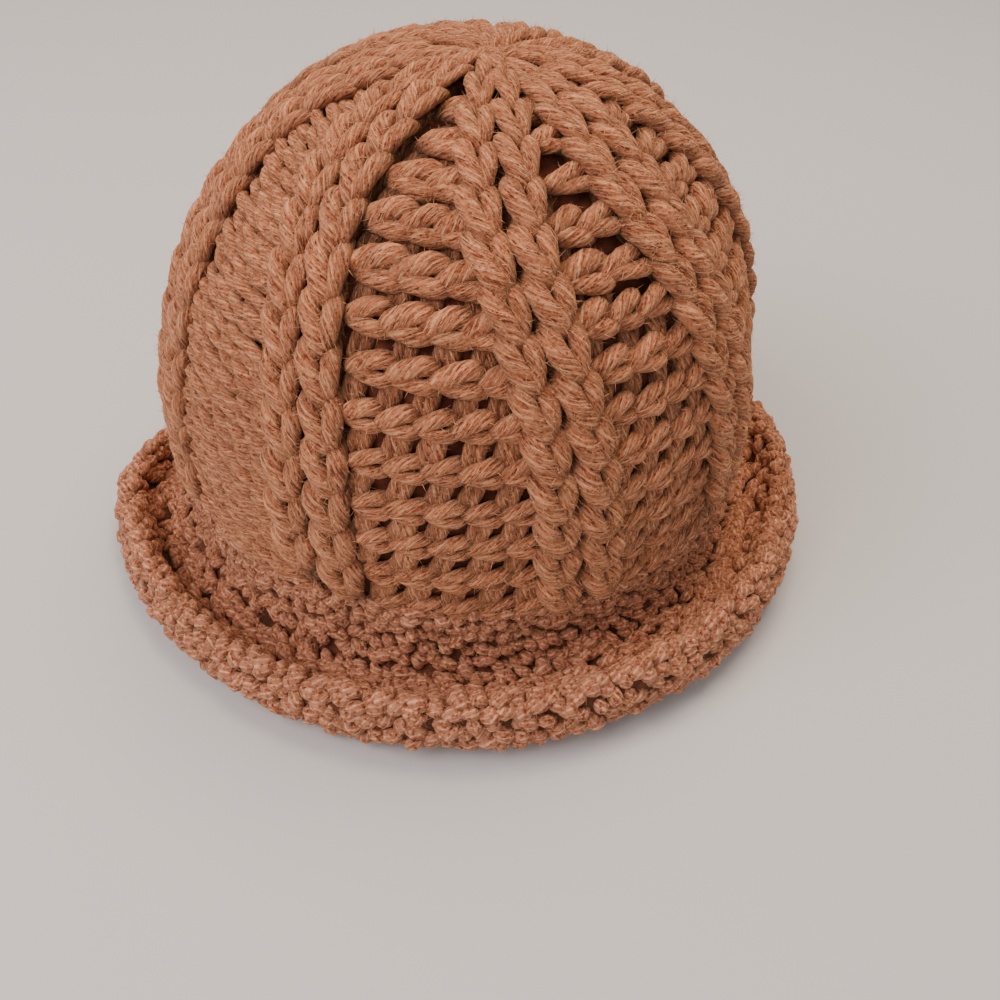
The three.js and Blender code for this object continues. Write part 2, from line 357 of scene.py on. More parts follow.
class ShapeTree:
    """A Geometry Nodes tree with named inputs that turns an object's mesh into another one."""

    # Values that the trees read from a mesh and that its finish has no use for.
    spent: tuple[str, ...] = ("thickness", "outward", "phase", "start")

    def __init__(self, name: str, inputs: dict[str, float | int]) -> None:
        """Builds the tree once.

        Args:
            name: Name of the tree.
            inputs: Named inputs with a first value each, whole for a whole number.
        """
        self.tree = bpy.data.node_groups.new(name, "GeometryNodeTree")
        self.add = partial(add_node, self.tree)
        new_socket = self.tree.interface.new_socket
        new_socket("Mesh", in_out="INPUT", socket_type="NodeSocketGeometry")
        for key, value in inputs.items():
            kind = "NodeSocketInt" if isinstance(value, int) else "NodeSocketFloat"
            new_socket(key, in_out="INPUT", socket_type=kind).default_value = value
        new_socket("Finish", in_out="INPUT", socket_type="NodeSocketMaterial")
        new_socket("Mesh", in_out="OUTPUT", socket_type="NodeSocketGeometry")
        given = self.add("NodeGroupInput").outputs
        real = self.add("GeometryNodeRealizeInstances", {"Geometry": self.shape(given)})
        dressed = self.add("GeometryNodeSetMaterial", {"Geometry": real, "Material": given["Finish"]})
        self.add("NodeGroupOutput", {"Mesh": dressed})

    def shape(self, given: bpy.types.NodeOutputs) -> bpy.types.Node:
        """Adds the nodes that make the new shape from the given inputs, and returns the last."""
        raise NotImplementedError

    def run(self, source: Thing, name: str, inputs: dict[str, float | int], finish: Material) -> Thing:
        """Sends an object's mesh through the tree, and removes that object.

        Args:
            source: Object whose mesh goes in.
            name: Name of the new object.
            inputs: Values of the named inputs.
            finish: Material of the new mesh.

        Returns:
            The new plain mesh object.
        """
        modifier = source.modifiers.new("shape", "NODES")
        modifier.node_group = self.tree
        sockets = {item.name: item.identifier for item in self.tree.interface.items_tree
                   if item.item_type == "SOCKET" and item.in_out == "INPUT"}
        for key, value in {**inputs, "Finish": finish}.items():
            modifier[sockets[key]] = value
        bpy.context.view_layer.update()
        evaluated = source.evaluated_get(bpy.context.evaluated_depsgraph_get())
        mesh = bpy.data.meshes.new_from_object(evaluated)
        mesh.name = name
        old = source.data
        bpy.data.objects.remove(source)
        bpy.data.meshes.remove(old)
        for key in self.spent:
            if key in mesh.attributes:
                mesh.attributes.remove(mesh.attributes[key])
        return put_in_scene(name, mesh)


class Twist(Enum):
    """Which way the plies of a yarn turn round each other."""

    S = -1
    Z = 1


@dataclass(frozen=True)
class YarnBuild:
    """How one sort of strand is built from its centre line (mm)."""

    plies: int = 3
    ring: int = 9
    step: float = 1.05
    turn: float = 20
    groove: float = 0.09
    flattening: float = 0.2
    lumps: float = 0.5
    lump_size: float = 2.6
    twist: Twist = Twist.S
    seed: int = 3

    def inputs(self) -> dict[str, float | int]:
        """Gives the yarn tree's named inputs.

        Returns:
            The value of each input, lengths in metres.
        """
        return {"Ring points": self.ring, "Plies": self.plies, "Step": self.step * MM,
                "Turn length": self.turn * MM, "Groove": self.groove, "Flattening": self.flattening,
                "Lump height": self.lumps * MM, "Lump size": self.lump_size * MM,
                "Handedness": float(self.twist.value), "Seed": float(self.seed)}


class PliedYarnTree(ShapeTree):
    """Turns lines into plied yarn: lobed profile, twist, pressed side, small lumps."""

    lump_detail: float = 1.5

    def __init__(self) -> None:
        """Builds the tree once."""
        super().__init__("plied_yarn", YarnBuild().inputs())

    def ring(self, given: bpy.types.NodeOutputs) -> bpy.types.Node:
        """Makes the ring of the plies, of radius one, with a groove between each two.

        Args:
            given: The tree's inputs.

        Returns:
            Node with the ring and the stored places of its points.
        """
        add = self.add
        circle = add("GeometryNodeCurvePrimitiveCircle",
                     {"Resolution": given["Ring points"], "Radius": 1.0})
        place = add("GeometryNodeInputPosition")
        size = add("GeometryNodeSplineParameter").outputs["Factor"]
        for operation, other, first in (
                ("MULTIPLY", math.pi, 1), ("MULTIPLY", given["Plies"], 1), ("COSINE", 0.0, 1),
                ("ABSOLUTE", 0.0, 1), ("SUBTRACT", 1.0, 0), ("MULTIPLY", given["Groove"], 1),
                ("SUBTRACT", 1.0, 0)):
            size = add("ShaderNodeMath", {1 - first: size, first: other}, operation=operation)
        moved = add("ShaderNodeVectorMath", {0: place, "Scale": size}, operation="SCALE")
        shaped = add("GeometryNodeSetPosition", {"Geometry": circle, "Position": moved})
        return add("GeometryNodeCaptureAttribute", {"Geometry": shaped, "Place": place},
                   {"Place": "VECTOR"})

    def shape(self, given: bpy.types.NodeOutputs) -> bpy.types.Node:
        """Adds the nodes that spin the yarn.

        Args:
            given: The tree's inputs.

        Returns:
            The node with the yarn.
        """
        add = self.add
        stored = {name: add("GeometryNodeInputNamedAttribute", {"Name": name}, data_type=kind)
                  for name, kind in (("phase", "FLOAT"), ("start", "FLOAT"), ("sunk", "FLOAT"),
                                     ("thickness", "FLOAT"), ("outward", "FLOAT_VECTOR"))}
        place = add("GeometryNodeInputPosition")
        length = add("GeometryNodeSplineParameter").outputs["Length"]
        curve = add("GeometryNodeMeshToCurve", {"Mesh": given["Mesh"]})
        fine = add("GeometryNodeResampleCurve", {"Curve": curve, "Length": given["Step"]}, mode="LENGTH")
        tilt = length
        for operation, other in (("DIVIDE", given["Turn length"]), ("MULTIPLY", 2 * math.pi),
                                 ("MULTIPLY", given["Handedness"]), ("ADD", stored["phase"])):
            tilt = add("ShaderNodeMath", {0: tilt, 1: other}, operation=operation)
        tilted = add("GeometryNodeSetCurveTilt", {"Curve": fine, "Tilt": tilt})
        run = add("ShaderNodeMath", {0: length, 1: stored["start"]}, operation="ADD")
        kept = add("GeometryNodeCaptureAttribute",
                   {"Geometry": tilted, "Centre": place, "Run": run, "Out": stored["outward"],
                    "Sunk": stored["sunk"]},
                   {"Centre": "VECTOR", "Run": "FLOAT", "Out": "VECTOR", "Sunk": "FLOAT"})
        out = kept.outputs["Out"]
        ring = self.ring(given)
        tube = add("GeometryNodeCurveToMesh", {"Curve": kept, "Profile Curve": ring,
                                               "Scale": stored["thickness"], "Fill Caps": True})
        # The side that faces out of the fabric and the one under it are pressed a little flat.
        away = add("ShaderNodeVectorMath", {0: place, 1: kept.outputs["Centre"]}, operation="SUBTRACT")
        height = add("ShaderNodeVectorMath", {0: away, 1: out}, operation="DOT_PRODUCT").outputs["Value"]
        inward = add("ShaderNodeMath", {0: given["Flattening"], 1: -1.0}, operation="MULTIPLY")
        inward = add("ShaderNodeMath", {0: height, 1: inward}, operation="MULTIPLY")
        pressed = add("ShaderNodeVectorMath", {0: out, "Scale": inward}, operation="SCALE")
        fineness = add("ShaderNodeMath", {0: 1.0, 1: given["Lump size"]}, operation="DIVIDE")
        lump = add("ShaderNodeTexNoise", {"Vector": place, "W": given["Seed"], "Scale": fineness,
                                          "Detail": self.lump_detail}, noise_dimensions="4D")
        for operation, other in (("SUBTRACT", 0.5), ("MULTIPLY", 2.0), ("MULTIPLY", given["Lump height"])):
            lump = add("ShaderNodeMath", {0: lump, 1: other}, operation=operation)
        way = add("ShaderNodeVectorMath", {0: away}, operation="NORMALIZE")
        swollen = add("ShaderNodeVectorMath", {0: way, "Scale": lump}, operation="SCALE")
        shift = add("ShaderNodeVectorMath", {0: pressed, 1: swollen}, operation="ADD")
        yarn = add("GeometryNodeSetPosition", {"Geometry": tube, "Offset": shift})
        # The finish reads the place on the ring with the run along the strand (mm), and the depth.
        split = add("ShaderNodeSeparateXYZ", {0: ring.outputs["Place"]}).outputs
        run_mm = add("ShaderNodeMath", {0: kept.outputs["Run"], 1: MM}, operation="DIVIDE")
        local = add("ShaderNodeCombineXYZ", {0: split[0], 1: split[1], 2: run_mm})
        sunk = add("ShaderNodeMath", {0: kept.outputs["Sunk"], 1: height}, operation="SUBTRACT")
        for name, kind, value in (("yarn_place", "FLOAT_VECTOR", local), ("sunk", "FLOAT", sunk)):
            yarn = add("GeometryNodeStoreNamedAttribute", {"Geometry": yarn, "Name": name, "Value": value},
                       data_type=kind, domain="POINT")
        return add("GeometryNodeSetShadeSmooth", {"Geometry": yarn, "Shade Smooth": True})

    def spin(self, basket: StrandBasket, name: str, build: YarnBuild, finish: Material) -> Thing:
        """Turns a basket of strands into one plain mesh of yarn."""
        return self.run(basket.lay_out(name + "_lines"), name, build.inputs(), finish)


@dataclass(frozen=True)
class FibreBuild:
    """The fine fibre ends on a piece of yarn (mm)."""

    # Fibre ends for each square metre of shown yarn.
    density: float = 120000
    length: float = 2.3
    width: float = 0.09
    lean: float = 1.9
    # Height of the point that the shown faces look away from.
    centre: float = 50
    seed: int = 1

    def inputs(self) -> dict[str, float | int]:
        """Gives the fibre tree's named inputs, lengths in metres."""
        return {"Density": float(self.density), "Length": self.length * MM, "Width": self.width * MM,
                "Lean": self.lean, "Centre height": self.centre * MM, "Seed": self.seed}


class LooseFibreTree(ShapeTree):
    """Scatters fine fibre ends over the faces of a mesh that look away from the hat."""

    # Cosine of the angle between such a face and the way out of the hat.
    facing: float = 0.3
    # None grow where they would reach through the floor (m).
    floor_gap: float = 0.0032
    sizes: Pair = (0.45, 1.25)

    def __init__(self, finish: Material) -> None:
        """Builds the tree once."""
        super().__init__("loose_fibres", FibreBuild().inputs())
        self.finish = finish

    def shape(self, given: bpy.types.NodeOutputs) -> bpy.types.Node:
        """Adds the nodes that scatter the fibres.

        Args:
            given: The tree's inputs.

        Returns:
            The node with the fibres.
        """
        add = self.add
        normal = add("GeometryNodeInputNormal")
        place = add("GeometryNodeInputPosition")
        middle = add("ShaderNodeCombineXYZ", {2: given["Centre height"]})
        away = add("ShaderNodeVectorMath", {0: place, 1: middle}, operation="SUBTRACT")
        away = add("ShaderNodeVectorMath", {0: away}, operation="NORMALIZE")
        facing = add("ShaderNodeVectorMath", {0: normal, 1: away}, operation="DOT_PRODUCT").outputs["Value"]
        height = add("ShaderNodeSeparateXYZ", {0: place}).outputs[2]
        clear = add("ShaderNodeMath", {0: height, 1: self.floor_gap}, operation="GREATER_THAN")
        facing = add("ShaderNodeMath", {0: facing, 1: clear}, operation="MULTIPLY")
        shown = add("FunctionNodeCompare", {0: facing, 1: self.facing},
                    data_type="FLOAT", operation="GREATER_THAN")
        points = add("GeometryNodeDistributePointsOnFaces",
                     {"Mesh": given["Mesh"], "Selection": shown, "Density": given["Density"],
                      "Seed": given["Seed"]}, distribute_method="RANDOM")
        spike = add("GeometryNodeMeshCone",
                    {"Vertices": 3, "Side Segments": 1, "Radius Top": 0.0, "Radius Bottom": given["Width"],
                     "Depth": given["Length"]}, fill_type="NGON")
        scatter = add("FunctionNodeRandomValue", {0: (-1.0,) * 3, 1: (1.0,) * 3, "Seed": given["Seed"]},
                      data_type="FLOAT_VECTOR")
        leaning = add("ShaderNodeVectorMath", {0: scatter, "Scale": given["Lean"]}, operation="SCALE")
        way = add("ShaderNodeVectorMath", {0: points.outputs["Normal"], 1: leaning}, operation="ADD")
        turned = add("FunctionNodeAlignRotationToVector", {"Vector": way}, axis="Z")
        size = add("FunctionNodeRandomValue", {2: self.sizes[0], 3: self.sizes[1], "Seed": given["Seed"]},
                   data_type="FLOAT").outputs[1]
        return add("GeometryNodeInstanceOnPoints", {"Points": points, "Selection": clear, "Instance": spike,
                                                    "Rotation": turned, "Scale": size})

    def grow(self, piece: Thing, build: FibreBuild) -> Thing:
        """Adds fibre ends to a piece of yarn.

        Args:
            piece: The yarn.
            build: Sizes of the fibres.

        Returns:
            The piece with its fibres joined to it.
        """
        copy = put_in_scene(piece.name + "_under", piece.data.copy())
        fibres = self.run(copy, piece.name + "_fibres", build.inputs(), self.finish)
        return join([piece, fibres], piece.name)


@dataclass(frozen=True)
class Finish:
    """A finish: a shader with the nodes in front of it, named for the real material."""

    name: str = "plain"

    def surface(self, add: Adder) -> dict[str, object]:
        """Adds the nodes in front of the shader, and returns what goes into its inputs."""
        raise NotImplementedError

    def make(self) -> Material:
        """Builds the material.

        Returns:
            The material.
        """
        material = bpy.data.materials.new(self.name)
        material.use_nodes = True
        material.node_tree.nodes.clear()
        add = partial(add_node, material.node_tree)
        add("ShaderNodeOutputMaterial", {"Surface": add("ShaderNodeBsdfPrincipled", self.surface(add))})
        return material


@dataclass(frozen=True)
class FibreEndFinish(Finish):
    """Single acrylic fibre ends that stand off the yarn: pale and matt, for the bloom at its edges."""

    name: str = "acrylic_fibre_ends"
    colour: str = "#d29a73"

    def surface(self, add: Adder) -> dict[str, object]:
        """Gives the shader's inputs; a fibre is too thin for a pattern."""
        return {"Base Color": linear(self.colour), "Roughness": 0.8, "Specular IOR Level": 0.2,
                "Sheen Weight": 0.3}


@dataclass(frozen=True)
class AcrylicYarnFinish(Finish):
    """Bulky spun acrylic yarn, soft and a little fuzzy: matt, with a pale bloom of fibre ends, painted
    highlights on single fibres and painted shade in its grooves and depths.
    """

    name: str = "acrylic_yarn_spun"
    base: str = "#ba6e4a"
    light: str = "#e59b70"
    # Tone of the painted highlights on single fibres.
    pale: str = "#fccfa8"
    dark: str = "#551f10"
    # Tone of the painted shade in the grooves between plies.
    groove: str = "#7c3b22"
    sheen: str = "#f0c49a"
    # Noise at the base tone and halfway from dark to light, and how far off dark and light lie.
    base_tone: float = 0.47
    middle_tone: float = 0.48
    tone_reach: Pair = (-0.06, 0.055)
    contrast: float = 1
    # Half a strand's thickness, which is one in the strand's own coordinates.
    strand_mm: float = 2.6
    # Real acrylic fibres are too fine to show, so they are drawn about twice as coarse.
    fibre_mm: float = 0.56
    # Stretch of the fibres along the strand, and turn of the second layer for each millimetre of it.
    along: float = 0.06
    crossing: float = -0.2
    second_layer: float = 0.45
    tuft_share: float = 0.25
    tuft_mm: float = 1.1
    tuft_height: float = 0.6
    # Painted highlights on single fibres that catch the light, thinner and longer than the others.
    glint: float = 0.62
    glint_range: Pair = (0.55, 0.66)
    glint_fineness: float = 1.7
    glint_along: float = 0.036
    patch_mm: float = 9
    patch_range: Pair = (0.3, 0.7)
    patch_shade: Pair = (0.9, 1.08)
    bump_mm: float = 1.3
    # Painted shade in the grooves between plies: distance from the strand's middle where a groove ends, and
    # the least share of the lit tone there.
    groove_shade_edge: Pair = (0.91, 0.96)
    groove_shade_least: float = 0.45
    # Strands shade each other: brightness at the crests, and at a depth below them (mm).
    crest_shade: float = 1.12
    deep_shade: float = 0.36
    deep_mm: float = 5.8

    def surface(self, add: Adder) -> dict[str, object]:
        """Lays fibres, tufts and shade over the strand's own coordinates.

        Args:
            add: Adds a node to the material.

        Returns:
            The shader's inputs.
        """
        own = add("ShaderNodeAttribute", attribute_name="yarn_place").outputs["Vector"]
        sunk = add("ShaderNodeAttribute", attribute_name="sunk").outputs["Fac"]
        world = add("ShaderNodeTexCoord").outputs["Object"]
        # Fibres run along the plies, so the noise is long in the strand's direction and fine round it.
        # A second layer crosses the first at a small angle, as spun fibres do.
        run = add("ShaderNodeSeparateXYZ", {0: own}).outputs[2]
        angle = add("ShaderNodeMath", {0: run, 1: self.crossing}, operation="MULTIPLY")
        crossed = add("ShaderNodeVectorRotate", {"Vector": own, "Angle": angle}, rotation_type="Z_AXIS")
        first, second, third = (
            add("ShaderNodeMapping", {"Vector": vector, "Scale": (1.0, 1.0, stretch)})
            for vector, stretch in ((own, self.along), (crossed, self.along), (own, self.glint_along)))
        fine = self.strand_mm / self.fibre_mm
        fibres, others, singles, tufts, patches = (
            add("ShaderNodeTexNoise", {"Vector": vector, "Scale": scale, "Detail": detail,
                                       "Roughness": roughness})
            for vector, scale, detail, roughness in (
                (first, fine, 3.0, 0.65), (second, fine, 3.0, 0.65),
                (third, fine * self.glint_fineness, 2.0, 0.6),
                (world, 1 / MM / self.tuft_mm, 2.5, 0.65), (world, 1 / MM / self.patch_mm, 1.0, 0.5)))
        layers = add("ShaderNodeMix", {0: self.second_layer, 2: fibres, 3: others}, data_type="FLOAT")
        mixed = add("ShaderNodeMix", {0: self.tuft_share, 2: layers, 3: tufts}, data_type="FLOAT")
        ramp = add("ShaderNodeValToRGB", {"Fac": mixed})
        ramp.color_ramp.elements.new(self.base_tone)
        dark, light = (self.middle_tone + reach / self.contrast for reach in self.tone_reach)
        for element, place, code in zip(ramp.color_ramp.elements, (dark, self.base_tone, light),
                                        (self.dark, self.base, self.light)):
            element.position, element.color = place, linear(code)
        # Painted shade: the grooves between plies are tinted towards the groove tone.
        flat = add("ShaderNodeVectorMath", {0: own, 1: (1.0, 1.0, 0.0)}, operation="MULTIPLY")
        reach = add("ShaderNodeVectorMath", {0: flat}, operation="LENGTH").outputs["Value"]
        crest, glint, patch, shade = (
            add("ShaderNodeMapRange", {"Value": value, "From Min": low, "From Max": high,
                                       "To Min": least, "To Max": most})
            for value, (low, high), (least, most) in (
                (reach, self.groove_shade_edge, (self.groove_shade_least, 1.0)),
                (singles, self.glint_range, (0.0, self.glint)),
                (patches, self.patch_range, self.patch_shade),
                (sunk, (0.0, self.deep_mm * MM), (self.crest_shade, self.deep_shade))))
        # Painted highlights: a pale tone on single fibres.
        lit = add("ShaderNodeMix", {0: glint, 6: ramp, 7: linear(self.pale)}, data_type="RGBA").outputs[2]
        tint = add("ShaderNodeMix", {0: crest, 6: linear(self.groove), 7: lit}, data_type="RGBA").outputs[2]
        shade = add("ShaderNodeMath", {0: patch, 1: shade}, operation="MULTIPLY")
        colour = add("ShaderNodeVectorMath", {0: tint, "Scale": shade}, operation="SCALE")
        height = add("ShaderNodeMath", {0: tufts, 1: self.tuft_height, 2: layers}, operation="MULTIPLY_ADD")
        bump = add("ShaderNodeBump", {"Height": height, "Strength": 1.0,
                                      "Distance": self.bump_mm * MM * self.contrast})
        return {"Base Color": colour, "Roughness": 0.82, "IOR": 1.49, "Specular IOR Level": 0.25,
                "Sheen Weight": 0.35, "Sheen Roughness": 0.45, "Sheen Tint": linear(self.sheen),
                "Normal": bump}


@dataclass(frozen=True)
class BackingFinish(Finish):
    """The same acrylic yarn in close fabric, deep between the strands or inside: matt, small bumps; its
    default tones are painted dark for the shade between the strands.
    """

    name: str = "acrylic_yarn_close_fabric"
    base: str = "#7b422f"
    dark: str = "#4a2015"
    sheen: str = "#f0c49a"
    stitch_mm: float = 5.2
    # Distance from a stitch's middle where its painted shade starts and ends, in stitches.
    edges: Pair = (0.15, 0.75)
    fuzz_mm: float = 0.7
    bump_mm: float = 0.9

    def surface(self, add: Adder) -> dict[str, object]:
        """Lays small rounded stitches over Object coordinates.

        Args:
            add: Adds a node to the material.

        Returns:
            The shader's inputs.
        """
        world = add("ShaderNodeTexCoord").outputs["Object"]
        cells = add("ShaderNodeTexVoronoi",
                    {"Vector": world, "Scale": 1 / MM / self.stitch_mm, "Randomness": 0.75})
        fuzz = add("ShaderNodeTexNoise", {"Vector": world, "Scale": 1 / MM / self.fuzz_mm, "Detail": 3.0})
        ramp = add("ShaderNodeValToRGB", {"Fac": cells})
        for element, place, code in zip(ramp.color_ramp.elements, self.edges, (self.base, self.dark)):
            element.position, element.color = place, linear(code)
        height = add("ShaderNodeMath", {0: cells, 1: -1.0, 2: fuzz}, operation="MULTIPLY_ADD")
        bump = add("ShaderNodeBump", {"Height": height, "Strength": 0.8, "Distance": self.bump_mm * MM})
        return {"Base Color": ramp, "Roughness": 0.9, "IOR": 1.49, "Specular IOR Level": 0.2,
                "Sheen Weight": 0.2, "Sheen Roughness": 0.5, "Sheen Tint": linear(self.sheen),
                "Normal": bump}


@dataclass(frozen=True)
class PaintedBoardFinish(Finish):
    """Matt painted board for the floor: pale and even, with a faint grain."""

    name: str = "painted_board_matt"
    colour: str = "#cfcfd1"
    grain_mm: float = 10 / 9
    bump_mm: float = 0.2

    def surface(self, add: Adder) -> dict[str, object]:
        """Lays a faint grain over Object coordinates.

        Args:
            add: Adds a node to the material.

        Returns:
            The shader's inputs.
        """
        world = add("ShaderNodeTexCoord").outputs["Object"]
        grain = add("ShaderNodeTexNoise", {"Vector": world, "Scale": 1 / MM / self.grain_mm})
        bump = add("ShaderNodeBump", {"Height": grain, "Strength": 0.1, "Distance": self.bump_mm * MM})
        return {"Base Color": linear(self.colour), "Roughness": 0.85, "Normal": bump}


class Wardrobe:
    """The yarn tree, the fibre tree and the finishes that every piece is made with."""

    def __init__(self) -> None:
        """Builds the trees and the finishes once."""
        self.yarn = PliedYarnTree()
        self.fibres = LooseFibreTree(FibreEndFinish().make())
        self.spun = AcrylicYarnFinish().make()
        # The brim's small stitches blur into soft lumps, so its fibres are drawn fainter; its tones are
        # also painted lighter than the dome's, for the light that falls on the brim.
        self.brim = AcrylicYarnFinish(name="acrylic_yarn_spun_brim", contrast=0.62, base="#c28262",
                                      light="#e2a685", tuft_share=0.7, tuft_mm=1.4, glint=0.1).make()
        # Close fabric deep between the strands, painted dark for the shade there; the inside keeps a tone
        # near the yarn's own.
        self.shaded_backing = BackingFinish().make()
        self.inside = BackingFinish(name="acrylic_yarn_inside_fabric", base="#b8734d", dark="#8c4f35",
                                    stitch_mm=3.6).make()
        # The brim's core, where it shows between the stitches, painted darker still for the shade there.
        self.fold = BackingFinish(name="acrylic_yarn_brim_core_painted_shade", base="#6c3d2b", dark="#432318").make()


@dataclass(frozen=True)
class LegShape:
    """One leg of a V: its column in the stitch's path, and sizes as shares of the chain's width."""

    column: int
    thickness: float
    reach: float = 1
    # Extra depth, which grows towards the tip.
    sunk: float = 0
    # Half the strand's thickness is never less than this (mm).
    least: float = 2


@dataclass(frozen=True)
class ChainStitch:
    """One V of a chain: two legs that come from the outside of the open end and meet in the tip.

    Lengths along and across the chain and depths are shares of the chain's width, the strand's too.
    """

    # Share along the stitch, main leg across, other leg across, depth.
    path: Table = (
        (0.00, -0.10, 0.12, 0.58),
        (0.14, -0.23, 0.25, 0.24),
        (0.32, -0.28, 0.31, 0.02),
        (0.60, -0.13, 0.24, 0.01),
        (0.84, 0.05, 0.10, 0.10),
        (1.00, 0.12, 0.00, 0.38))
    main: LegShape = LegShape(1, 0.28)
    other: LegShape = LegShape(2, 0.245, sunk=0.07, least=1.7)
    edge: float = 0.58
    least_edge: float = 0.06
    # The strand is thinner by this share at the open end and at the tip, up to and from these shares.
    open_end: Pair = (0.18, 0.25)
    tip: Pair = (0.42, 0.76)
    # Share of a leg's extra depth that it has at the open end.
    open_sunk: float = 0.6
    points: int = 14

    def leg(self, shape: LegShape, width: float) -> tuple[Array, Array, Array, Array]:
        """Works out one leg.

        Args:
            shape: Which leg.
            width: Width of the chain.

        Returns:
            Share along the stitch with 0 at the open end and 1 at the tip, distance across,
            depth of the centre line below the crest, and half the thickness.
        """
        share = np.linspace(0, 1, self.points)
        thickness = max(width * shape.thickness, shape.least)
        rows = rounded(self.path)
        across, sunk = (np.interp(share, rows[:, 0], rows[:, column]) for column in (shape.column, 3))
        widest = float(np.abs(across).max())
        reach = min(shape.reach, max(self.edge - thickness / width, self.least_edge) / widest)
        depth = thickness + width * (sunk + shape.sunk * (self.open_sunk + share))
        ends = (1 - self.open_end[0] + self.open_end[0] * smooth(0, self.open_end[1], share)) * (
            1 - self.tip[0] * smooth(self.tip[1], 1, share))
        return share, across * reach * width, depth, thickness * ends


class Side(IntEnum):
    """Which column of a rib pair, seen from outside."""

    LEFT = -1
    RIGHT = 1


@dataclass
class RibColumn:
    """One column of V stitches, with the cord of post stitches that it stands on (mm)."""

    form: HatForm
    pair: int
    side: Side
    # Share of a stitch by which the chain starts later.
    phase: float
    stitch: ChainStitch = ChainStitch(main=LegShape(1, 0.295),
                                      other=LegShape(2, 0.26, sunk=0.07, least=1.7))
    cord: YarnBuild = YarnBuild(ring=8, plies=4, step=1.9, turn=40, groove=0.16, flattening=0.42, lumps=0.4)
    fibres: FibreBuild = FibreBuild(density=220000)
    # The chain's start and the first tips, as arc lengths from the top.
    start: float = 3.5
    first_tip: float = 7
    last_arc: float = 196
    middle_phase: float = 0.4
    # Length of a leg, and how far it reaches past the tip.
    overlap: float = 1.45
    past_tip: float = 0.4
    crest: float = 0.2
    # Every other pair dips under its neighbours where all of them crowd together at the top.
    tucked: float = 1.8
    tucked_arcs: Pair = (8, 36)
    cord_arcs: Pair = (9, 189)
    cord_points: int = 64
    cord_depth: float = 8.5
    cord_half: float = 5.6
    cord_shift: float = 0.08
    first_seed: int = 100
    cord_seed: int = 50
    # Small random differences from leg to leg.
    length_range: Pair = (0.97, 1.04)
    depth_range: Pair = (-0.2, 0.25)
    bow: float = 0.03
    thickness_range: Pair = (0.96, 1.05)

    @property
    def name(self) -> str:
        """Name of the solid that the column stands for."""
        return f"rib_{self.pair + 1}_{self.side.name.lower()}"

    def centre(self, arc: Array) -> Array:
        """Gives the azimuth of the column's middle line.

        Args:
            arc: Arc lengths from the top.

        Returns:
            An azimuth for each of them, in degrees.
        """
        half = read_rows(self.form.column_widths, arc) / 2
        return self.form.rib_azimuths[self.pair] + self.side * self.form.angle_of(
            self.form.clearance + half, arc)

    def add_leg(self, basket: StrandBasket, tip: float, shape: LegShape) -> None:
        """Adds one leg of a V.

        Args:
            basket: Basket that gets it.
            tip: Arc length of the V's tip.
            shape: Which leg.
        """
        form, random = self.form, basket.random
        width = float(read_rows(form.column_widths, tip - self.middle_phase * form.pitch))
        share, across, depth, radii = self.stitch.leg(shape, width)
        start = max(self.start, tip - self.overlap * form.pitch * random.uniform(*self.length_range))
        arc = start + (tip + self.past_tip - start) * share
        depth = depth + self.crest + random.uniform(*self.depth_range)
        sunk = depth - self.crest
        if self.pair % 2:
            depth = depth + self.tucked * (1 - smooth(*self.tucked_arcs, arc))
        across = across + random.uniform(-self.bow, self.bow) * width * np.sin(np.pi * share)
        azimuth = self.centre(arc) + form.angle_of(across, arc)
        radii = radii * random.uniform(*self.thickness_range)
        depth = np.minimum(depth, form.deepest - radii)
        basket.add_on_dome(form, (arc, depth, azimuth), radii, sunk)

    def make_cord(self, seed: int) -> StrandBasket:
        """Makes the cord below the V stitches.

        Args:
            seed: Fixed seed of its place on the yarn.

        Returns:
            The basket with the cord.
        """
        form, basket = self.form, StrandBasket(seed)
        arc = np.linspace(*self.cord_arcs, self.cord_points)
        width = read_rows(form.column_widths, arc)
        azimuth = self.centre(arc) - self.side * form.angle_of(self.cord_shift * width, arc)
        basket.add_on_dome(form, (arc, self.cord_depth, azimuth), np.minimum(0.5 * width, self.cord_half),
                           self.cord_depth)
        return basket

    def make_legs(self, seed: int) -> StrandBasket:
        """Makes all the legs of the column.

        Args:
            seed: Fixed seed of the small differences.

        Returns:
            The basket with the legs.
        """
        basket = StrandBasket(seed)
        tip = self.form.groove_arc(self.phase - self.middle_phase)
        while tip < self.last_arc:
            if tip > self.first_tip:
                for shape in (self.stitch.other, self.stitch.main):
                    self.add_leg(basket, tip, shape)
            tip += self.form.pitch
        return basket

    def build(self, means: Wardrobe) -> None:
        """Makes the column's piece.

        Args:
            means: Trees and finishes.
        """
        seed = self.first_seed + 2 * self.pair + (self.side > 0)
        legs, cord = self.make_legs(seed), self.make_cord(seed + self.cord_seed)
        parts = [means.yarn.spin(legs, self.name + "_stitches", YarnBuild(seed=seed), means.spun),
                 means.yarn.spin(cord, self.name + "_posts", replace(self.cord, seed=seed), means.spun)]
        piece = means.fibres.grow(join(parts, self.name + "_yarn"), replace(self.fibres, seed=seed))
        finish_piece(piece, self.name)


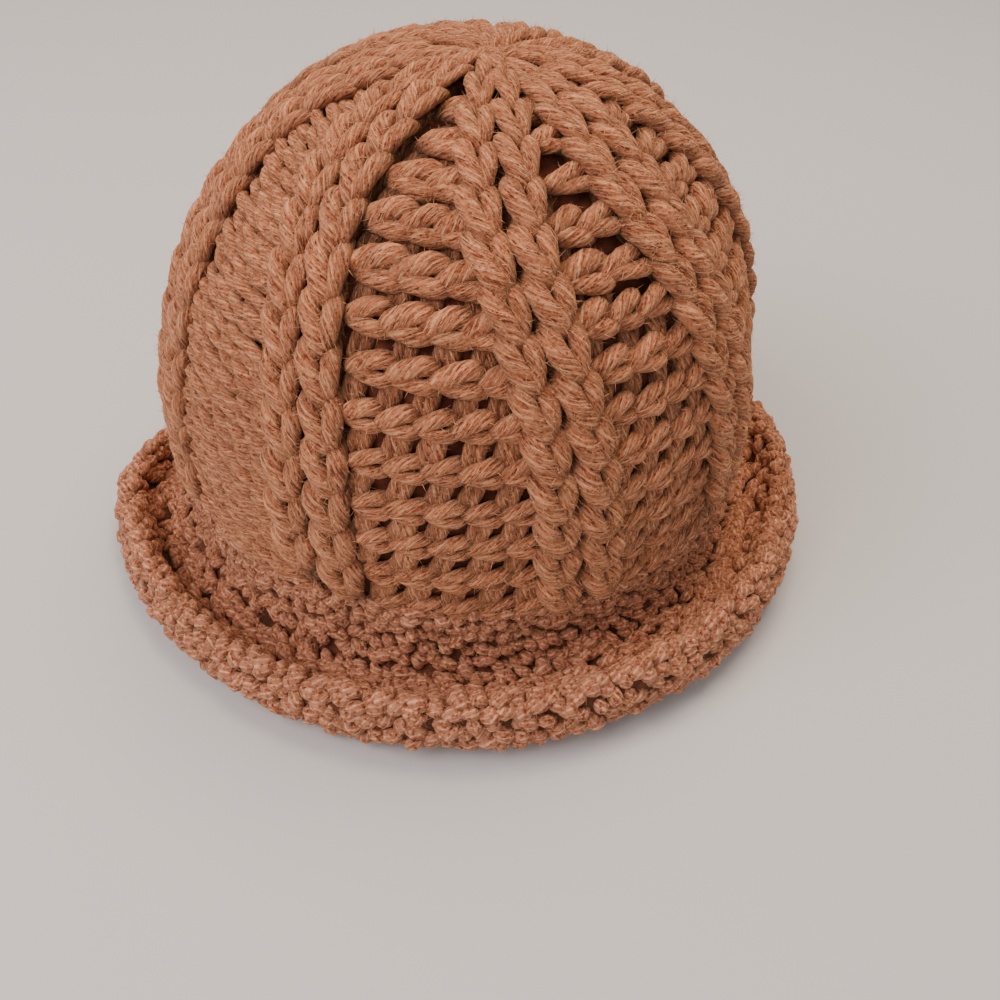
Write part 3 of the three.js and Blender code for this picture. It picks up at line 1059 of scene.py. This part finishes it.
def shell(name: str, rings: Array, finishes: tuple[Material, Material], outer: int,
          ends: tuple[Array, Array] | None = None) -> Thing:
    """Makes a closed mesh from rings of points that are walked side by side.

    Args:
        name: Name of the object.
        rings: Points in millimetres, first axis the rings, second the places round each.
        finishes: Materials of the outside and of the inside or underside.
        outer: Number of rings that have the first material.
        ends: Points that close the first and the last ring, or None if the last ring joins the first.

    Returns:
        The object.
    """
    count, around = rings.shape[:2]
    points = rings.reshape(-1, 3)
    here = np.arange(count * around).reshape(count, around)
    upper, lower = (here, np.roll(here, -1, 0)) if ends is None else (here[:-1], here[1:])
    quads = np.stack([upper, lower, np.roll(lower, -1, 1), np.roll(upper, -1, 1)], -1)
    faces = quads.reshape(-1, 4).tolist()
    material = np.repeat([0, 1], [(outer - 1) * around, len(faces) - (outer - 1) * around])
    if ends is not None:
        points = np.vstack([points, *ends])
        first, last = np.full(around, len(points) - 2), np.full(around, len(points) - 1)
        faces += np.stack([first, here[0], np.roll(here[0], -1)], -1).tolist()
        faces += np.stack([last, np.roll(here[-1], -1), here[-1]], -1).tolist()
        material = np.r_[material, np.repeat([0, 1], around)]
    mesh = bpy.data.meshes.new(name)
    mesh.from_pydata((points * MM).tolist(), [], faces)
    mesh.polygons.foreach_set("use_smooth", [True] * len(faces))
    mesh.polygons.foreach_set("material_index", material.astype(np.int32))
    mesh.update()
    for finish in finishes:
        mesh.materials.append(finish)
    return put_in_scene(name, mesh)


class RoundColumn(IntEnum):
    """Columns of the crown's table of rounds, whose first column is the round."""

    WIDTH = 1
    CREST = 2
    PLACE = 3
    POST_DEPTH = 4
    POST_HALF = 5
    LEG_LENGTH = 6


@dataclass(frozen=True)
class StitchPlace:
    """Where one V of a round lies: round, azimuth of its tip and step to the next, slope, size."""

    number: int
    tip: float
    step: float
    slope: float
    size: float


@dataclass
class CrownFabric:
    """The rounds of the dome between the ribs: chains of V stitches on their side, and their posts (mm)."""

    form: HatForm
    stitch: ChainStitch = ChainStitch(main=LegShape(1, 0.275, reach=1.08), edge=0.85,
                                      other=LegShape(2, 0.25, reach=0.85, sunk=0.07, least=1.7))
    chain_yarn: YarnBuild = YarnBuild(step=1.3, flattening=0.1, seed=0)
    post_yarn: YarnBuild = YarnBuild(ring=8, plies=2, step=1.3, seed=9)
    fibres: FibreBuild = FibreBuild()
    groups: tuple[tuple[int, int, str], ...] = (
        (0, 7, "crown_upper_rounds_yarn"), (7, 10, "crown_middle_rounds_yarn"),
        (10, 13, "crown_lower_rounds_yarn"))
    stitch_width: float = 9.8
    # How far a round goes under the ribs beside it.
    tuck: float = 2.2
    # Places within a round, as shares of the pitch: its stitches, the top and the foot of its posts.
    round_middle: float = 0.6
    post_reach: Pair = (-0.3, 0.62)
    post_gap: float = 0.13
    post_start: float = 0.72
    post_slant: float = 0.46
    post_bow: float = 0.9
    post_end_half: float = 0.85
    post_points: int = 7
    # Depth of the posts where a panel has no pits.
    shallow_posts: float = 5.6
    crest_drop: float = 0.5
    upper_lift: float = 0.55
    hole_size: float = 0.78
    # Least room for a round (degrees), and room in stitches that is left over before one more is added.
    least_room: float = 0.5
    reserve: float = 0.3
    first_shift: float = 0.02
    # Small random differences: place of a round's stitches and slope of its chain, then length, depth
    # and thickness of a leg, then place, depth and thickness of a post.
    shift_range: Pair = (-0.12, 0.12)
    slope_range: Pair = (-0.5, 0.5)
    length_range: Pair = (0.93, 1.07)
    depth_range: Pair = (-0.5, 0.5)
    half_range: Pair = (0.88, 1.08)
    post_shift_range: Pair = (-0.1, 0.1)
    post_depth_range: Pair = (-0.3, 0.3)
    post_half_range: Pair = (0.82, 1.15)
    # Fixed seeds of chains, posts and coil, and of the rounds' and the coil's fibres.
    chain_seed: int = 300
    post_seed: int = 400
    coil_seed: int = 77
    fibre_seeds: tuple[int, int] = (20, 30)
    # Round, then the columns that RoundColumn names. PLACE and LEG_LENGTH are shares of the pitch and
    # of the step from stitch to stitch.
    round_rows: Table = (
        (0, 11.6, 3.2, 0.62, 9.8, 1.9, 1.6),
        (4, 12.4, 3.2, 0.62, 9.6, 2.0, 1.6),
        (6, 10.3, 3.5, 0.65, 9.0, 2.3, 1.42),
        (8, 9.0, 3.9, 0.69, 8.2, 2.45, 1.34),
        (12, 8.8, 4.1, 0.69, 7.9, 2.45, 1.34))
    # Rib pair on a panel's left, first and last round with a hole beside a rib, width of the hole on
    # the panel's left and on its right.
    side_holes: Table = (
        (0, 1, 5, -2.2, 0.6), (7, 4, 6, 6.5, -2.2), (3, 1, 4, -2.2, 0.6), (5, 1, 4, 0.6, -2.2))
    # Panels in the order of the ribs on their left, with how open their holes are; 0 is brushed smooth.
    openness: tuple[float, ...] = (1, 1, 1, 1, 1, 1, 0.8, 0, 1)
    # A brushed panel: flat strands that slant down to the right, close together.
    brushed_rows: int = 3
    brushed_fall: float = 3.4
    brushed_depth: float = 6.3
    brushed_half: float = 2.15
    brushed_step: float = 0.8
    brushed_length: float = 1.6
    brushed_shade: float = 0.9
    brushed_bow: float = 2
    brushed_end_half: float = 0.8
    brushed_points: int = 8
    brushed_start_range: Pair = (0.6, 1.1)
    brushed_stop: float = 0.1
    brushed_fall_range: Pair = (0.7, 1.4)
    brushed_shift_range: Pair = (-0.8, 0.8)
    brushed_depth_range: Pair = (-0.6, 0.6)
    # The close fabric behind the strands goes on a little way inside the brim's wall.
    lining_depth: float = 9.4
    lining_inside: float = 13.4
    lining_overlap: float = 1.2
    lining_rings: int = 72
    lining_step: float = 4.0
    lining_ridge: float = 0.55
    ridge_rise: float = 0.5
    first_lining_arc: float = 5
    # Depth and half thickness of the coil at the top, arc length of its start, its width and its turn.
    coil: tuple[float, ...] = (4.6, 2.4, 0.8, 5.5, 630)
    coil_points: int = 40
    coil_yarn: YarnBuild = YarnBuild(step=0.9, seed=5)

    def read(self, number: int, column: RoundColumn) -> float:
        """Reads the table of rounds."""
        return float(read_rows(self.round_rows, number, column))

    def panel_edges(self, pair: int, arc: float) -> Pair:
        """Gives the azimuths of a panel's two sides at an arc length.

        Args:
            pair: Rib pair on the panel's left.
            arc: Arc length from the top.

        Returns:
            Azimuths of the left and the right side.
        """
        ribs = self.form.rib_azimuths
        half = float(self.form.angle_of(
            read_rows(self.form.column_widths, arc) + 2 * self.form.clearance, arc))
        after = ribs[(pair + 1) % len(ribs)] + (360 if pair == len(ribs) - 1 else 0)
        return ribs[pair] + half, after - half

    def side_gaps(self, pair: int, number: int) -> Pair:
        """Gives how far a round stops short of its ribs.

        Args:
            pair: Rib pair on the panel's left.
            number: Round, counted from the top.

        Returns:
            Gaps on the left and on the right; below 0 the round goes under the rib.
        """
        for panel, first, last, left, right in self.side_holes:
            if panel == pair and first <= number <= last:
                return left, right
        return -self.tuck, -self.tuck

    def stitch_tips(self, pair: int, number: int, random: np.random.Generator) -> tuple[Array, float]:
        """Gives the places of one round's stitches in a panel.

        Args:
            pair: Rib pair on the panel's left.
            number: Round, counted from the top.
            random: Source of small differences.

        Returns:
            Azimuths of the stitches' tips, and the azimuth step from one to the next.
        """
        arc = self.form.groove_arc(number + self.round_middle)
        low, high = self.panel_edges(pair, arc)
        left, right, step = (float(self.form.angle_of(length, arc))
                             for length in (*self.side_gaps(pair, number), self.stitch_width))
        low, high = low + left, high - right
        if high - low < self.least_room:
            return np.array([]), 1.0
        count = max(1, round((high - low) / step - self.reserve))
        step = (high - low) / count
        shift = random.uniform(*self.shift_range)
        return low + step * (np.arange(count) + shift + self.first_shift), step

    def add_chain_leg(self, basket: StrandBasket, place: StitchPlace, shape: LegShape) -> None:
        """Adds one leg of a V that lies on its side, its tip to the left.

        Args:
            basket: Basket that gets it.
            place: Where the V lies.
            shape: Which leg.
        """
        form, random = self.form, basket.random
        width = self.read(place.number, RoundColumn.WIDTH) * place.size
        crest = self.read(place.number, RoundColumn.CREST)
        length = self.read(place.number, RoundColumn.LEG_LENGTH)
        middle = form.groove_arc(place.number + self.read(place.number, RoundColumn.PLACE))
        share, across, depth, radii = self.stitch.leg(shape, width)
        azimuth = place.tip + place.step * length * random.uniform(*self.length_range) * (1 - share)
        arc = middle + across + place.slope * (azimuth - place.tip) / place.step
        lift = self.upper_lift * smooth(-1, 1, across / width * 2)
        depth = depth + crest + self.crest_drop - lift + random.uniform(*self.depth_range)
        radii = radii * random.uniform(*self.half_range)
        depth = np.minimum(depth, form.deepest - radii)
        basket.add_on_dome(form, (arc, depth, azimuth), radii, depth - crest)

    def add_post(self, basket: StrandBasket, place: StitchPlace, openness: float) -> None:
        """Adds the pair of strands that holds a stitch to the round above it.

        Args:
            basket: Basket that gets them.
            place: Where the stitch lies.
            openness: How open the panel's holes are.
        """
        form, random = self.form, basket.random
        share = np.linspace(0, 1, self.post_points)
        swell = np.sin(np.pi * share)
        top, foot = (form.groove_arc(place.number + reach) for reach in self.post_reach)
        middle_depth = (self.read(place.number, RoundColumn.POST_DEPTH) * openness
                        + self.shallow_posts * (1 - openness))
        half = self.read(place.number, RoundColumn.POST_HALF) * random.uniform(*self.post_half_range)
        middle = self.post_start + random.uniform(*self.post_shift_range)
        crest = self.read(place.number, RoundColumn.CREST)
        radii = half * (self.post_end_half + (1 - self.post_end_half) * swell)
        arc = top + (foot - top) * share
        for offset in (-self.post_gap, self.post_gap):
            azimuth = place.tip + place.step * (middle + offset - self.post_slant * share)
            depth = middle_depth + self.post_bow * (1 - swell) + random.uniform(*self.post_depth_range)
            depth = np.minimum(depth, form.deepest - radii)
            basket.add_on_dome(form, (arc, depth, azimuth), radii, depth - crest)

    def add_brushed_round(self, basket: StrandBasket, number: int, pair: int) -> None:
        """Adds one round of a brushed panel.

        Args:
            basket: Basket that gets its strands.
            number: Round, counted from the top.
            pair: Rib pair on the panel's left.
        """
        form, random = self.form, basket.random
        share = np.linspace(0, 1, self.brushed_points)
        swell = np.sin(np.pi * share)
        radii = self.brushed_half * (self.brushed_end_half + (1 - self.brushed_end_half) * swell)
        for row in range(self.brushed_rows):
            middle = form.groove_arc(number + (row + 0.5) / self.brushed_rows)
            low, high = self.panel_edges(pair, middle)
            if row < self.brushed_rows - 1:
                low = low + float(form.angle_of(max(self.side_gaps(pair, number)[0], 0), middle))
            step = float(form.angle_of(self.stitch_width * self.brushed_step, middle))
            first = low - step * random.uniform(*self.brushed_start_range)
            for start in np.arange(first, high - step * self.brushed_stop, step):
                azimuth = start + step * self.brushed_length * share
                fall = self.brushed_fall * (share - 0.5) * random.uniform(*self.brushed_fall_range)
                arc = middle + fall + random.uniform(*self.brushed_shift_range)
                depth = (self.brushed_depth + self.brushed_bow * (1 - swell ** 0.6)
                         + random.uniform(*self.brushed_depth_range))
                sunk = depth - self.brushed_depth + self.brushed_half + self.brushed_shade
                basket.add_on_dome(form, (arc, depth, azimuth), radii, sunk)

    def build_rounds(self, first: int, last: int, name: str, means: Wardrobe) -> Thing:
        """Makes the yarn of some rounds.

        Args:
            first: First round.
            last: Round after the last.
            name: Name of the piece.
            means: Trees and finishes.

        Returns:
            The piece.
        """
        chains, posts = StrandBasket(self.chain_seed + first), StrandBasket(self.post_seed + first)
        for number in range(first, last):
            for pair, openness in enumerate(self.openness):
                if openness == 0:
                    self.add_brushed_round(chains, number, pair)
                    continue
                tips, step = self.stitch_tips(pair, number, chains.random)
                slope = chains.random.uniform(*self.slope_range)
                left, right = self.side_gaps(pair, number)
                for order, tip in enumerate(tips):
                    at_hole = (left > 0 and order == 0) or (right > 0 and order == len(tips) - 1)
                    place = StitchPlace(number, tip, step, slope, self.hole_size if at_hole else 1)
                    for shape in (self.stitch.other, self.stitch.main):
                        self.add_chain_leg(chains, place, shape)
                    if not at_hole:
                        self.add_post(posts, place, openness)
        chain_yarn = replace(self.chain_yarn, seed=self.chain_yarn.seed + first)
        post_yarn = replace(self.post_yarn, seed=self.post_yarn.seed + first)
        return join([means.yarn.spin(chains, name + "_chains", chain_yarn, means.spun),
                     means.yarn.spin(posts, name + "_posts", post_yarn, means.spun)], name)

    def build_lining(self, means: Wardrobe) -> Thing:
        """Makes the close fabric behind the strands: a closed shell, ridged inside by its rounds.

        Args:
            means: Trees and finishes.

        Returns:
            The piece.
        """
        form = self.form
        arcs = np.linspace(self.first_lining_arc, form.crown_end + self.lining_overlap, self.lining_rings)
        azimuths = np.arange(0, 360, self.lining_step)
        ridges = self.lining_ridge * np.cos(2 * np.pi * (arcs - form.first_groove) / form.pitch)
        walk = [(arc, self.lining_depth) for arc in arcs]
        walk += list(zip(arcs[::-2], self.lining_inside - self.ridge_rise + ridges[::-2]))
        rings = np.array([form.on_dome(np.full(azimuths.shape, arc), depth, azimuths)
                          for arc, depth in walk])
        ends = [form.on_dome(np.zeros(1), depth, np.zeros(1))[0]
                for depth in (self.lining_depth, self.lining_inside)]
        return shell("crown_close_fabric", rings, (means.shaded_backing, means.inside), len(arcs), ends)

    def build_coil(self, means: Wardrobe) -> Thing:
        """Makes the coil of yarn where the dome closes at its top.

        Args:
            means: Trees and finishes.

        Returns:
            The piece.
        """
        depth, half, start, width, turn = self.coil
        basket = StrandBasket(self.coil_seed)
        share = np.linspace(0, 1, self.coil_points)
        basket.add_on_dome(self.form, (start + width * share, depth, turn * share), half, half)
        return means.yarn.spin(basket, "crown_centre_yarn", self.coil_yarn, means.spun)

    def build(self, means: Wardrobe) -> None:
        """Makes all the pieces of the dome.

        Args:
            means: Trees and finishes.
        """
        rounds_seed, coil_seed = self.fibre_seeds
        yarns = [(self.build_rounds(first, last, name, means), rounds_seed + first)
                 for first, last, name in self.groups]
        yarns.append((self.build_coil(means), coil_seed))
        for yarn, seed in yarns:
            finish_piece(means.fibres.grow(yarn, replace(self.fibres, seed=seed)), "crown_fabric")
        finish_piece(self.build_lining(means), "crown_fabric")


@dataclass
class RolledBrim:
    """The fat rolled brim and the band above it: a soft core covered in small lumpy stitches (mm)."""

    form: HatForm
    # Radius, height, share of the brim's waves. Same walk as the solid's section.
    section: Table = (
        (96.9, 32.6, 0), (97.6, 20, 0.1), (101, 11, 0.2), (106, 8.4, 0.4), (111.4, 13.6, 0.8),
        (112.8, 21, 1), (117.4, 25, 1), (122.2, 21.6, 1), (124.6, 13.6, 0.9), (123.4, 5.8, 0.7),
        (115.5, 0, 0), (102, 0, 0), (93.6, 4.6, 0), (89.8, 15, 0), (89.2, 32.6, 0))
    # Azimuth, reach, rise.
    waves: Table = (
        (-180, -2, 0), (-140, -6, -2), (-112, -10, -4), (-96, -11, -4.5), (-88, -4, -4),
        (-80, 0.5, -3.5), (-38, 0, -2), (-5, 0.6, 0.5), (35, -0.6, 2.6), (70, 0.4, 1.5),
        (102, 2.6, 0.2), (125, 1.5, 0), (150, -1, 0), (180, -2, 0))
    yarn: YarnBuild = YarnBuild(plies=2, ring=7, step=1.45, turn=14, groove=0.05, flattening=0.05,
                                lumps=0.3, lump_size=2.4, seed=9)
    fibres: FibreBuild = FibreBuild(density=80000, centre=10)
    slope_reach: float = 0.6
    slope_end: float = 1
    # Rows of stitches, counted from the wall's top, and sizes of one stitch.
    first_run: float = -2.5
    row_pitch: float = 4.9
    stitched_rows: int = 18
    band_rows: int = 6
    stitch_width: float = 5.4
    bump_length: float = 5.9
    bump_half: float = 2.85
    bump_sunk: float = 0.85
    bump_bow: float = 2.4
    bump_points: int = 7
    end_half: float = 0.42
    # The fold between band and roll is packed with more stitches than the rows beside it.
    band_size: float = 0.82
    band_share: float = 1.22
    fold_rows: tuple[int, int] = (4, 8)
    fold_share: float = 1.5
    fold_run: float = 27
    fold_half: float = 7
    fold_fill: float = 4.6
    core_inset: float = 2.5
    core_fill: float = 0.8
    core_rings: int = 56
    core_step: float = 4.0
    deepest: float = 6.9
    floor_gap: float = 0.35
    # Fixed seeds of the stitches and of their fibres, one more for each piece.
    first_seed: int = 900
    fibre_seed: int = 40
    # Small random differences: middle and spread of a stitch's direction, then ranges.
    direction: Pair = (62, 30)
    length_range: Pair = (0.85, 1.2)
    curl: float = 2.2
    half_range: Pair = (0.78, 1.15)
    depth_range: Pair = (-0.9, 0.7)
    run_shift: float = 1.5
    turn_shift: float = 0.2

    def __post_init__(self) -> None:
        """Rounds the section's corners and measures its length."""
        radius, height, wave = rounded(self.section).T
        run = np.r_[0, np.cumsum(np.hypot(np.diff(radius), np.diff(height)))]
        self.round_section = np.stack([run, radius, height, wave])

    def on_section(self, run: Array | float, inset: Array | float, azimuth: Array | float) -> Array:
        """Places points on the brim.

        Args:
            run: Length along the section from the wall's top.
            inset: Depth under the brim's surface.
            azimuth: Degrees round the hat.

        Returns:
            Points in millimetres.
        """
        run, inset, azimuth = np.broadcast_arrays(np.asarray(run, float), inset, azimuth)
        runs, *columns = self.round_section
        radius, height, wave = (np.interp(run, runs, column) for column in columns)
        ahead = np.clip(run + self.slope_reach, self.slope_end, None)
        behind = np.clip(run - self.slope_reach, None, runs[-1] - self.slope_end)
        behind = np.minimum(behind, ahead - self.slope_end)
        run_radius, run_height = (np.interp(ahead, runs, column) - np.interp(behind, runs, column)
                                  for column in columns[:2])
        length = np.maximum(np.hypot(run_radius, run_height), 1e-6)
        turned = (azimuth + 180) % 360 - 180
        reach, rise = (read_rows(self.waves, turned, column) * wave for column in (1, 2))
        radius = radius + reach + inset * run_height / length
        height = height + rise - inset * run_radius / length + np.maximum(-run, 0)
        return self.form.place(radius, height, azimuth)

    def outward(self, run: Array, azimuth: Array) -> Array:
        """Gives the direction out of the brim's surface."""
        gap = self.on_section(run, 0, azimuth) - self.on_section(run, 1, azimuth)
        return gap / np.linalg.norm(gap, axis=-1, keepdims=True)

    def fill(self, run: float) -> float:
        """Gives how far the stitches swell out of the fold between band and roll."""
        return self.fold_fill * math.exp(-((run - self.fold_run) / self.fold_half) ** 2)

    def radius_at(self, run: float, azimuth: float) -> float:
        """Gives a place's distance from the hat's middle."""
        return math.hypot(*self.on_section(run, 0, azimuth)[:2])

    def add_bump(self, basket: StrandBasket, run: float, azimuth: float, size: float) -> None:
        """Adds one small stitch: a short bent piece of yarn whose ends go into the core.

        Args:
            basket: Basket that gets it.
            run: Length along the section to its middle.
            azimuth: Azimuth of its middle.
            size: Its size, as a share of a full stitch.
        """
        random = basket.random
        share = np.linspace(0, 1, self.bump_points)
        swell = np.sin(np.pi * share)
        turn = math.radians(random.normal(*self.direction))
        along = (share - 0.5) * self.bump_length * size * random.uniform(*self.length_range)
        curl = random.uniform(-self.curl, self.curl) * swell
        runs = run + along * math.cos(turn) - curl * math.sin(turn)
        sideways = along * math.sin(turn) + curl * math.cos(turn)
        azimuths = azimuth + np.degrees(sideways / self.radius_at(run, azimuth))
        half = self.bump_half * size * random.uniform(*self.half_range)
        depth = (half * self.bump_sunk + self.bump_bow * (1 - swell ** 0.8)
                 + random.uniform(*self.depth_range))
        radii = half * (self.end_half + (1 - self.end_half) * swell ** 0.6)
        depth = np.minimum(depth - self.fill(run), self.deepest - radii)
        points = self.on_section(runs, depth, azimuths)
        points[..., 2] = np.maximum(points[..., 2], half + self.floor_gap)
        # The painted shade reads the depth before the swell, so stitches that swell out of the fold stay as
        # dark as the fold.
        basket.add(points, radii, self.outward(runs, azimuths), depth + self.fill(run))

    def stitches(self, first: int, last: int, seed: int) -> StrandBasket:
        """Gathers the small stitches of some rows of the brim, counted from the wall's top.

        Args:
            first: First row.
            last: Row after the last.
            seed: Fixed seed of the small differences.

        Returns:
            The strands.
        """
        basket = StrandBasket(seed)
        vary = basket.random.uniform
        for row in range(first, last):
            run = self.first_run + row * self.row_pitch
            size, crowd = (self.band_size, self.band_share) if row < self.band_rows else (1, 1)
            if self.fold_rows[0] <= row < self.fold_rows[1]:
                crowd = self.fold_share
            round_length = 2 * math.pi * self.radius_at(max(run, 0), 0)
            count = round(round_length / (self.stitch_width * size) * crowd)
            for index in range(count):
                turned = index + 0.5 * (row % 2) + vary(-self.turn_shift, self.turn_shift)
                azimuth = -180 + 360 * turned / count
                self.add_bump(basket, run + vary(-self.run_shift, self.run_shift) * size, azimuth, size)
        return basket

    def build_core(self, means: Wardrobe) -> Thing:
        """Makes the closed core under the stitches.

        Args:
            means: Trees and finishes.

        Returns:
            The piece.
        """
        runs = np.linspace(0, self.round_section[0][-1], self.core_rings)
        azimuths = np.arange(-180, 180, self.core_step)
        rings = np.array([self.on_section(run, self.core_inset - self.core_fill * self.fill(run), azimuths)
                          for run in runs])
        rings[..., 2] = np.maximum(rings[..., 2], 0.0)
        covered = self.first_run + (self.stitched_rows - 1) * self.row_pitch
        outer = int(np.searchsorted(runs, covered))
        # The outside of the core is painted dark for the shade between the stitches; the underside keeps
        # the inside's tone.
        return shell("rolled_brim_core", rings, (means.fold, means.inside), outer)

    def build(self, means: Wardrobe) -> None:
        """Makes the brim's pieces.

        Args:
            means: Trees and finishes.
        """
        rows = (0, self.band_rows, self.stitched_rows)
        for number, name in enumerate(("brim_band_stitches", "brim_roll_stitches")):
            basket = self.stitches(rows[number], rows[number + 1], self.first_seed + number)
            stitches = means.yarn.spin(basket, name, self.yarn, means.brim)
            fibres = replace(self.fibres, seed=self.fibre_seed + number)
            finish_piece(means.fibres.grow(stitches, fibres), "rolled_brim")
        finish_piece(self.build_core(means), "rolled_brim")


@dataclass(frozen=True)
class Studio:
    """Floor, soft light and the camera at the photograph's angle."""

    focal_px: float = 1055
    frame_px: float = 1000
    distance_mm: float = 360.26
    elevation: float = 32.24
    roll: float = -2.47
    target_mm: tuple[float, float, float] = (-1.329, 1.714, 80)
    target_px: Pair = (467.58, 310.55)
    sensor_mm: float = 36
    floor_half: float = 3
    glow: tuple[str, float] = ("#e6e4e2", 0.55)
    # Name, place and width (m), power (W) and colour of the lights, which look at a point in the hat.
    lights: tuple[tuple[str, tuple[float, float, float], float, float, str], ...] = (
        ("soft_left", (-0.82, -0.52, 1.0), 0.8, 14.3, "#fbeeea"),
        ("soft_front", (-0.2, -1.2, 0.7), 0.9, 2.4, "#f4ece6"),
        ("soft_top", (0.2, 0.35, 1.4), 0.8, 17, "#ffe6c8"))
    lit_point: tuple[float, float, float] = (0, 0, 0.08)

    def place_camera(self) -> None:
        """Makes the camera, turned so that its target falls on its pixel."""
        data = bpy.data.cameras.new("photo_view")
        data.sensor_width = self.sensor_mm
        data.lens = self.focal_px / self.frame_px * self.sensor_mm
        data.clip_start, data.clip_end = 0.01, 20
        tilt = math.radians(self.elevation)
        target = Vector(self.target_mm) * MM
        back = Vector((0, -math.cos(tilt), math.sin(tilt)))
        look = Matrix((Vector((1, 0, 0)), Vector((1, 0, 0)).cross(-back), back))
        half = self.frame_px / 2
        ray = Vector(((self.target_px[0] - half) / self.focal_px,
                      -(self.target_px[1] - half) / self.focal_px, -1))
        swing = Vector((0, 0, -1)).rotation_difference(ray.normalized()).to_matrix()
        roll = Matrix.Rotation(math.radians(self.roll), 3, "Z")
        turned = (swing @ roll @ look).transposed()
        camera = put_in_scene("photo_view", data)
        camera.matrix_world = Matrix.Translation(target + back * self.distance_mm * MM) @ turned.to_4x4()
        bpy.context.scene.camera = camera

    def lay_floor(self) -> None:
        """Makes the plain pale floor."""
        mesh = bpy.data.meshes.new("floor")
        side = self.floor_half
        corners = [(-side, -side, 0), (side, -side, 0), (side, side, 0), (-side, side, 0)]
        mesh.from_pydata(corners, [], [(0, 1, 2, 3)])
        mesh.materials.append(PaintedBoardFinish().make())
        floor = put_in_scene("floor", mesh)

    def light(self) -> None:
        """Sets the pale surroundings and the soft lights, the main one from the upper left."""
        world = bpy.data.worlds.new("pale_surroundings")
        world.use_nodes = True
        world.node_tree.nodes.clear()
        add = partial(add_node, world.node_tree)
        glow = add("ShaderNodeBackground", {"Color": linear(self.glow[0]), "Strength": self.glow[1]})
        add("ShaderNodeOutputWorld", {"Surface": glow})
        bpy.context.scene.world = world
        for name, place, size, power, colour in self.lights:
            data = bpy.data.lights.new(name, "AREA")
            data.size, data.energy, data.color = size, power, linear(colour)[:3]
            lamp = put_in_scene(name, data)
            lamp.location = place
            way = Vector(self.lit_point) - Vector(place)
            lamp.rotation_euler = way.to_track_quat("-Z", "Y").to_euler()


def main() -> None:
    """Builds the hat and its stage."""
    logging.basicConfig(level=logging.INFO, format="%(message)s", stream=sys.stdout)
    studio = Studio()
    studio.place_camera()
    studio.lay_floor()
    studio.light()
    form, means = HatForm(), Wardrobe()
    for pair, phases in enumerate(CHAIN_PHASES):
        for side, phase in zip(Side, phases):
            RibColumn(form, pair, side, phase).build(means)
    CrownFabric(form).build(means)
    RolledBrim(form).build(means)
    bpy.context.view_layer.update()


if __name__ == "__main__":
    main()
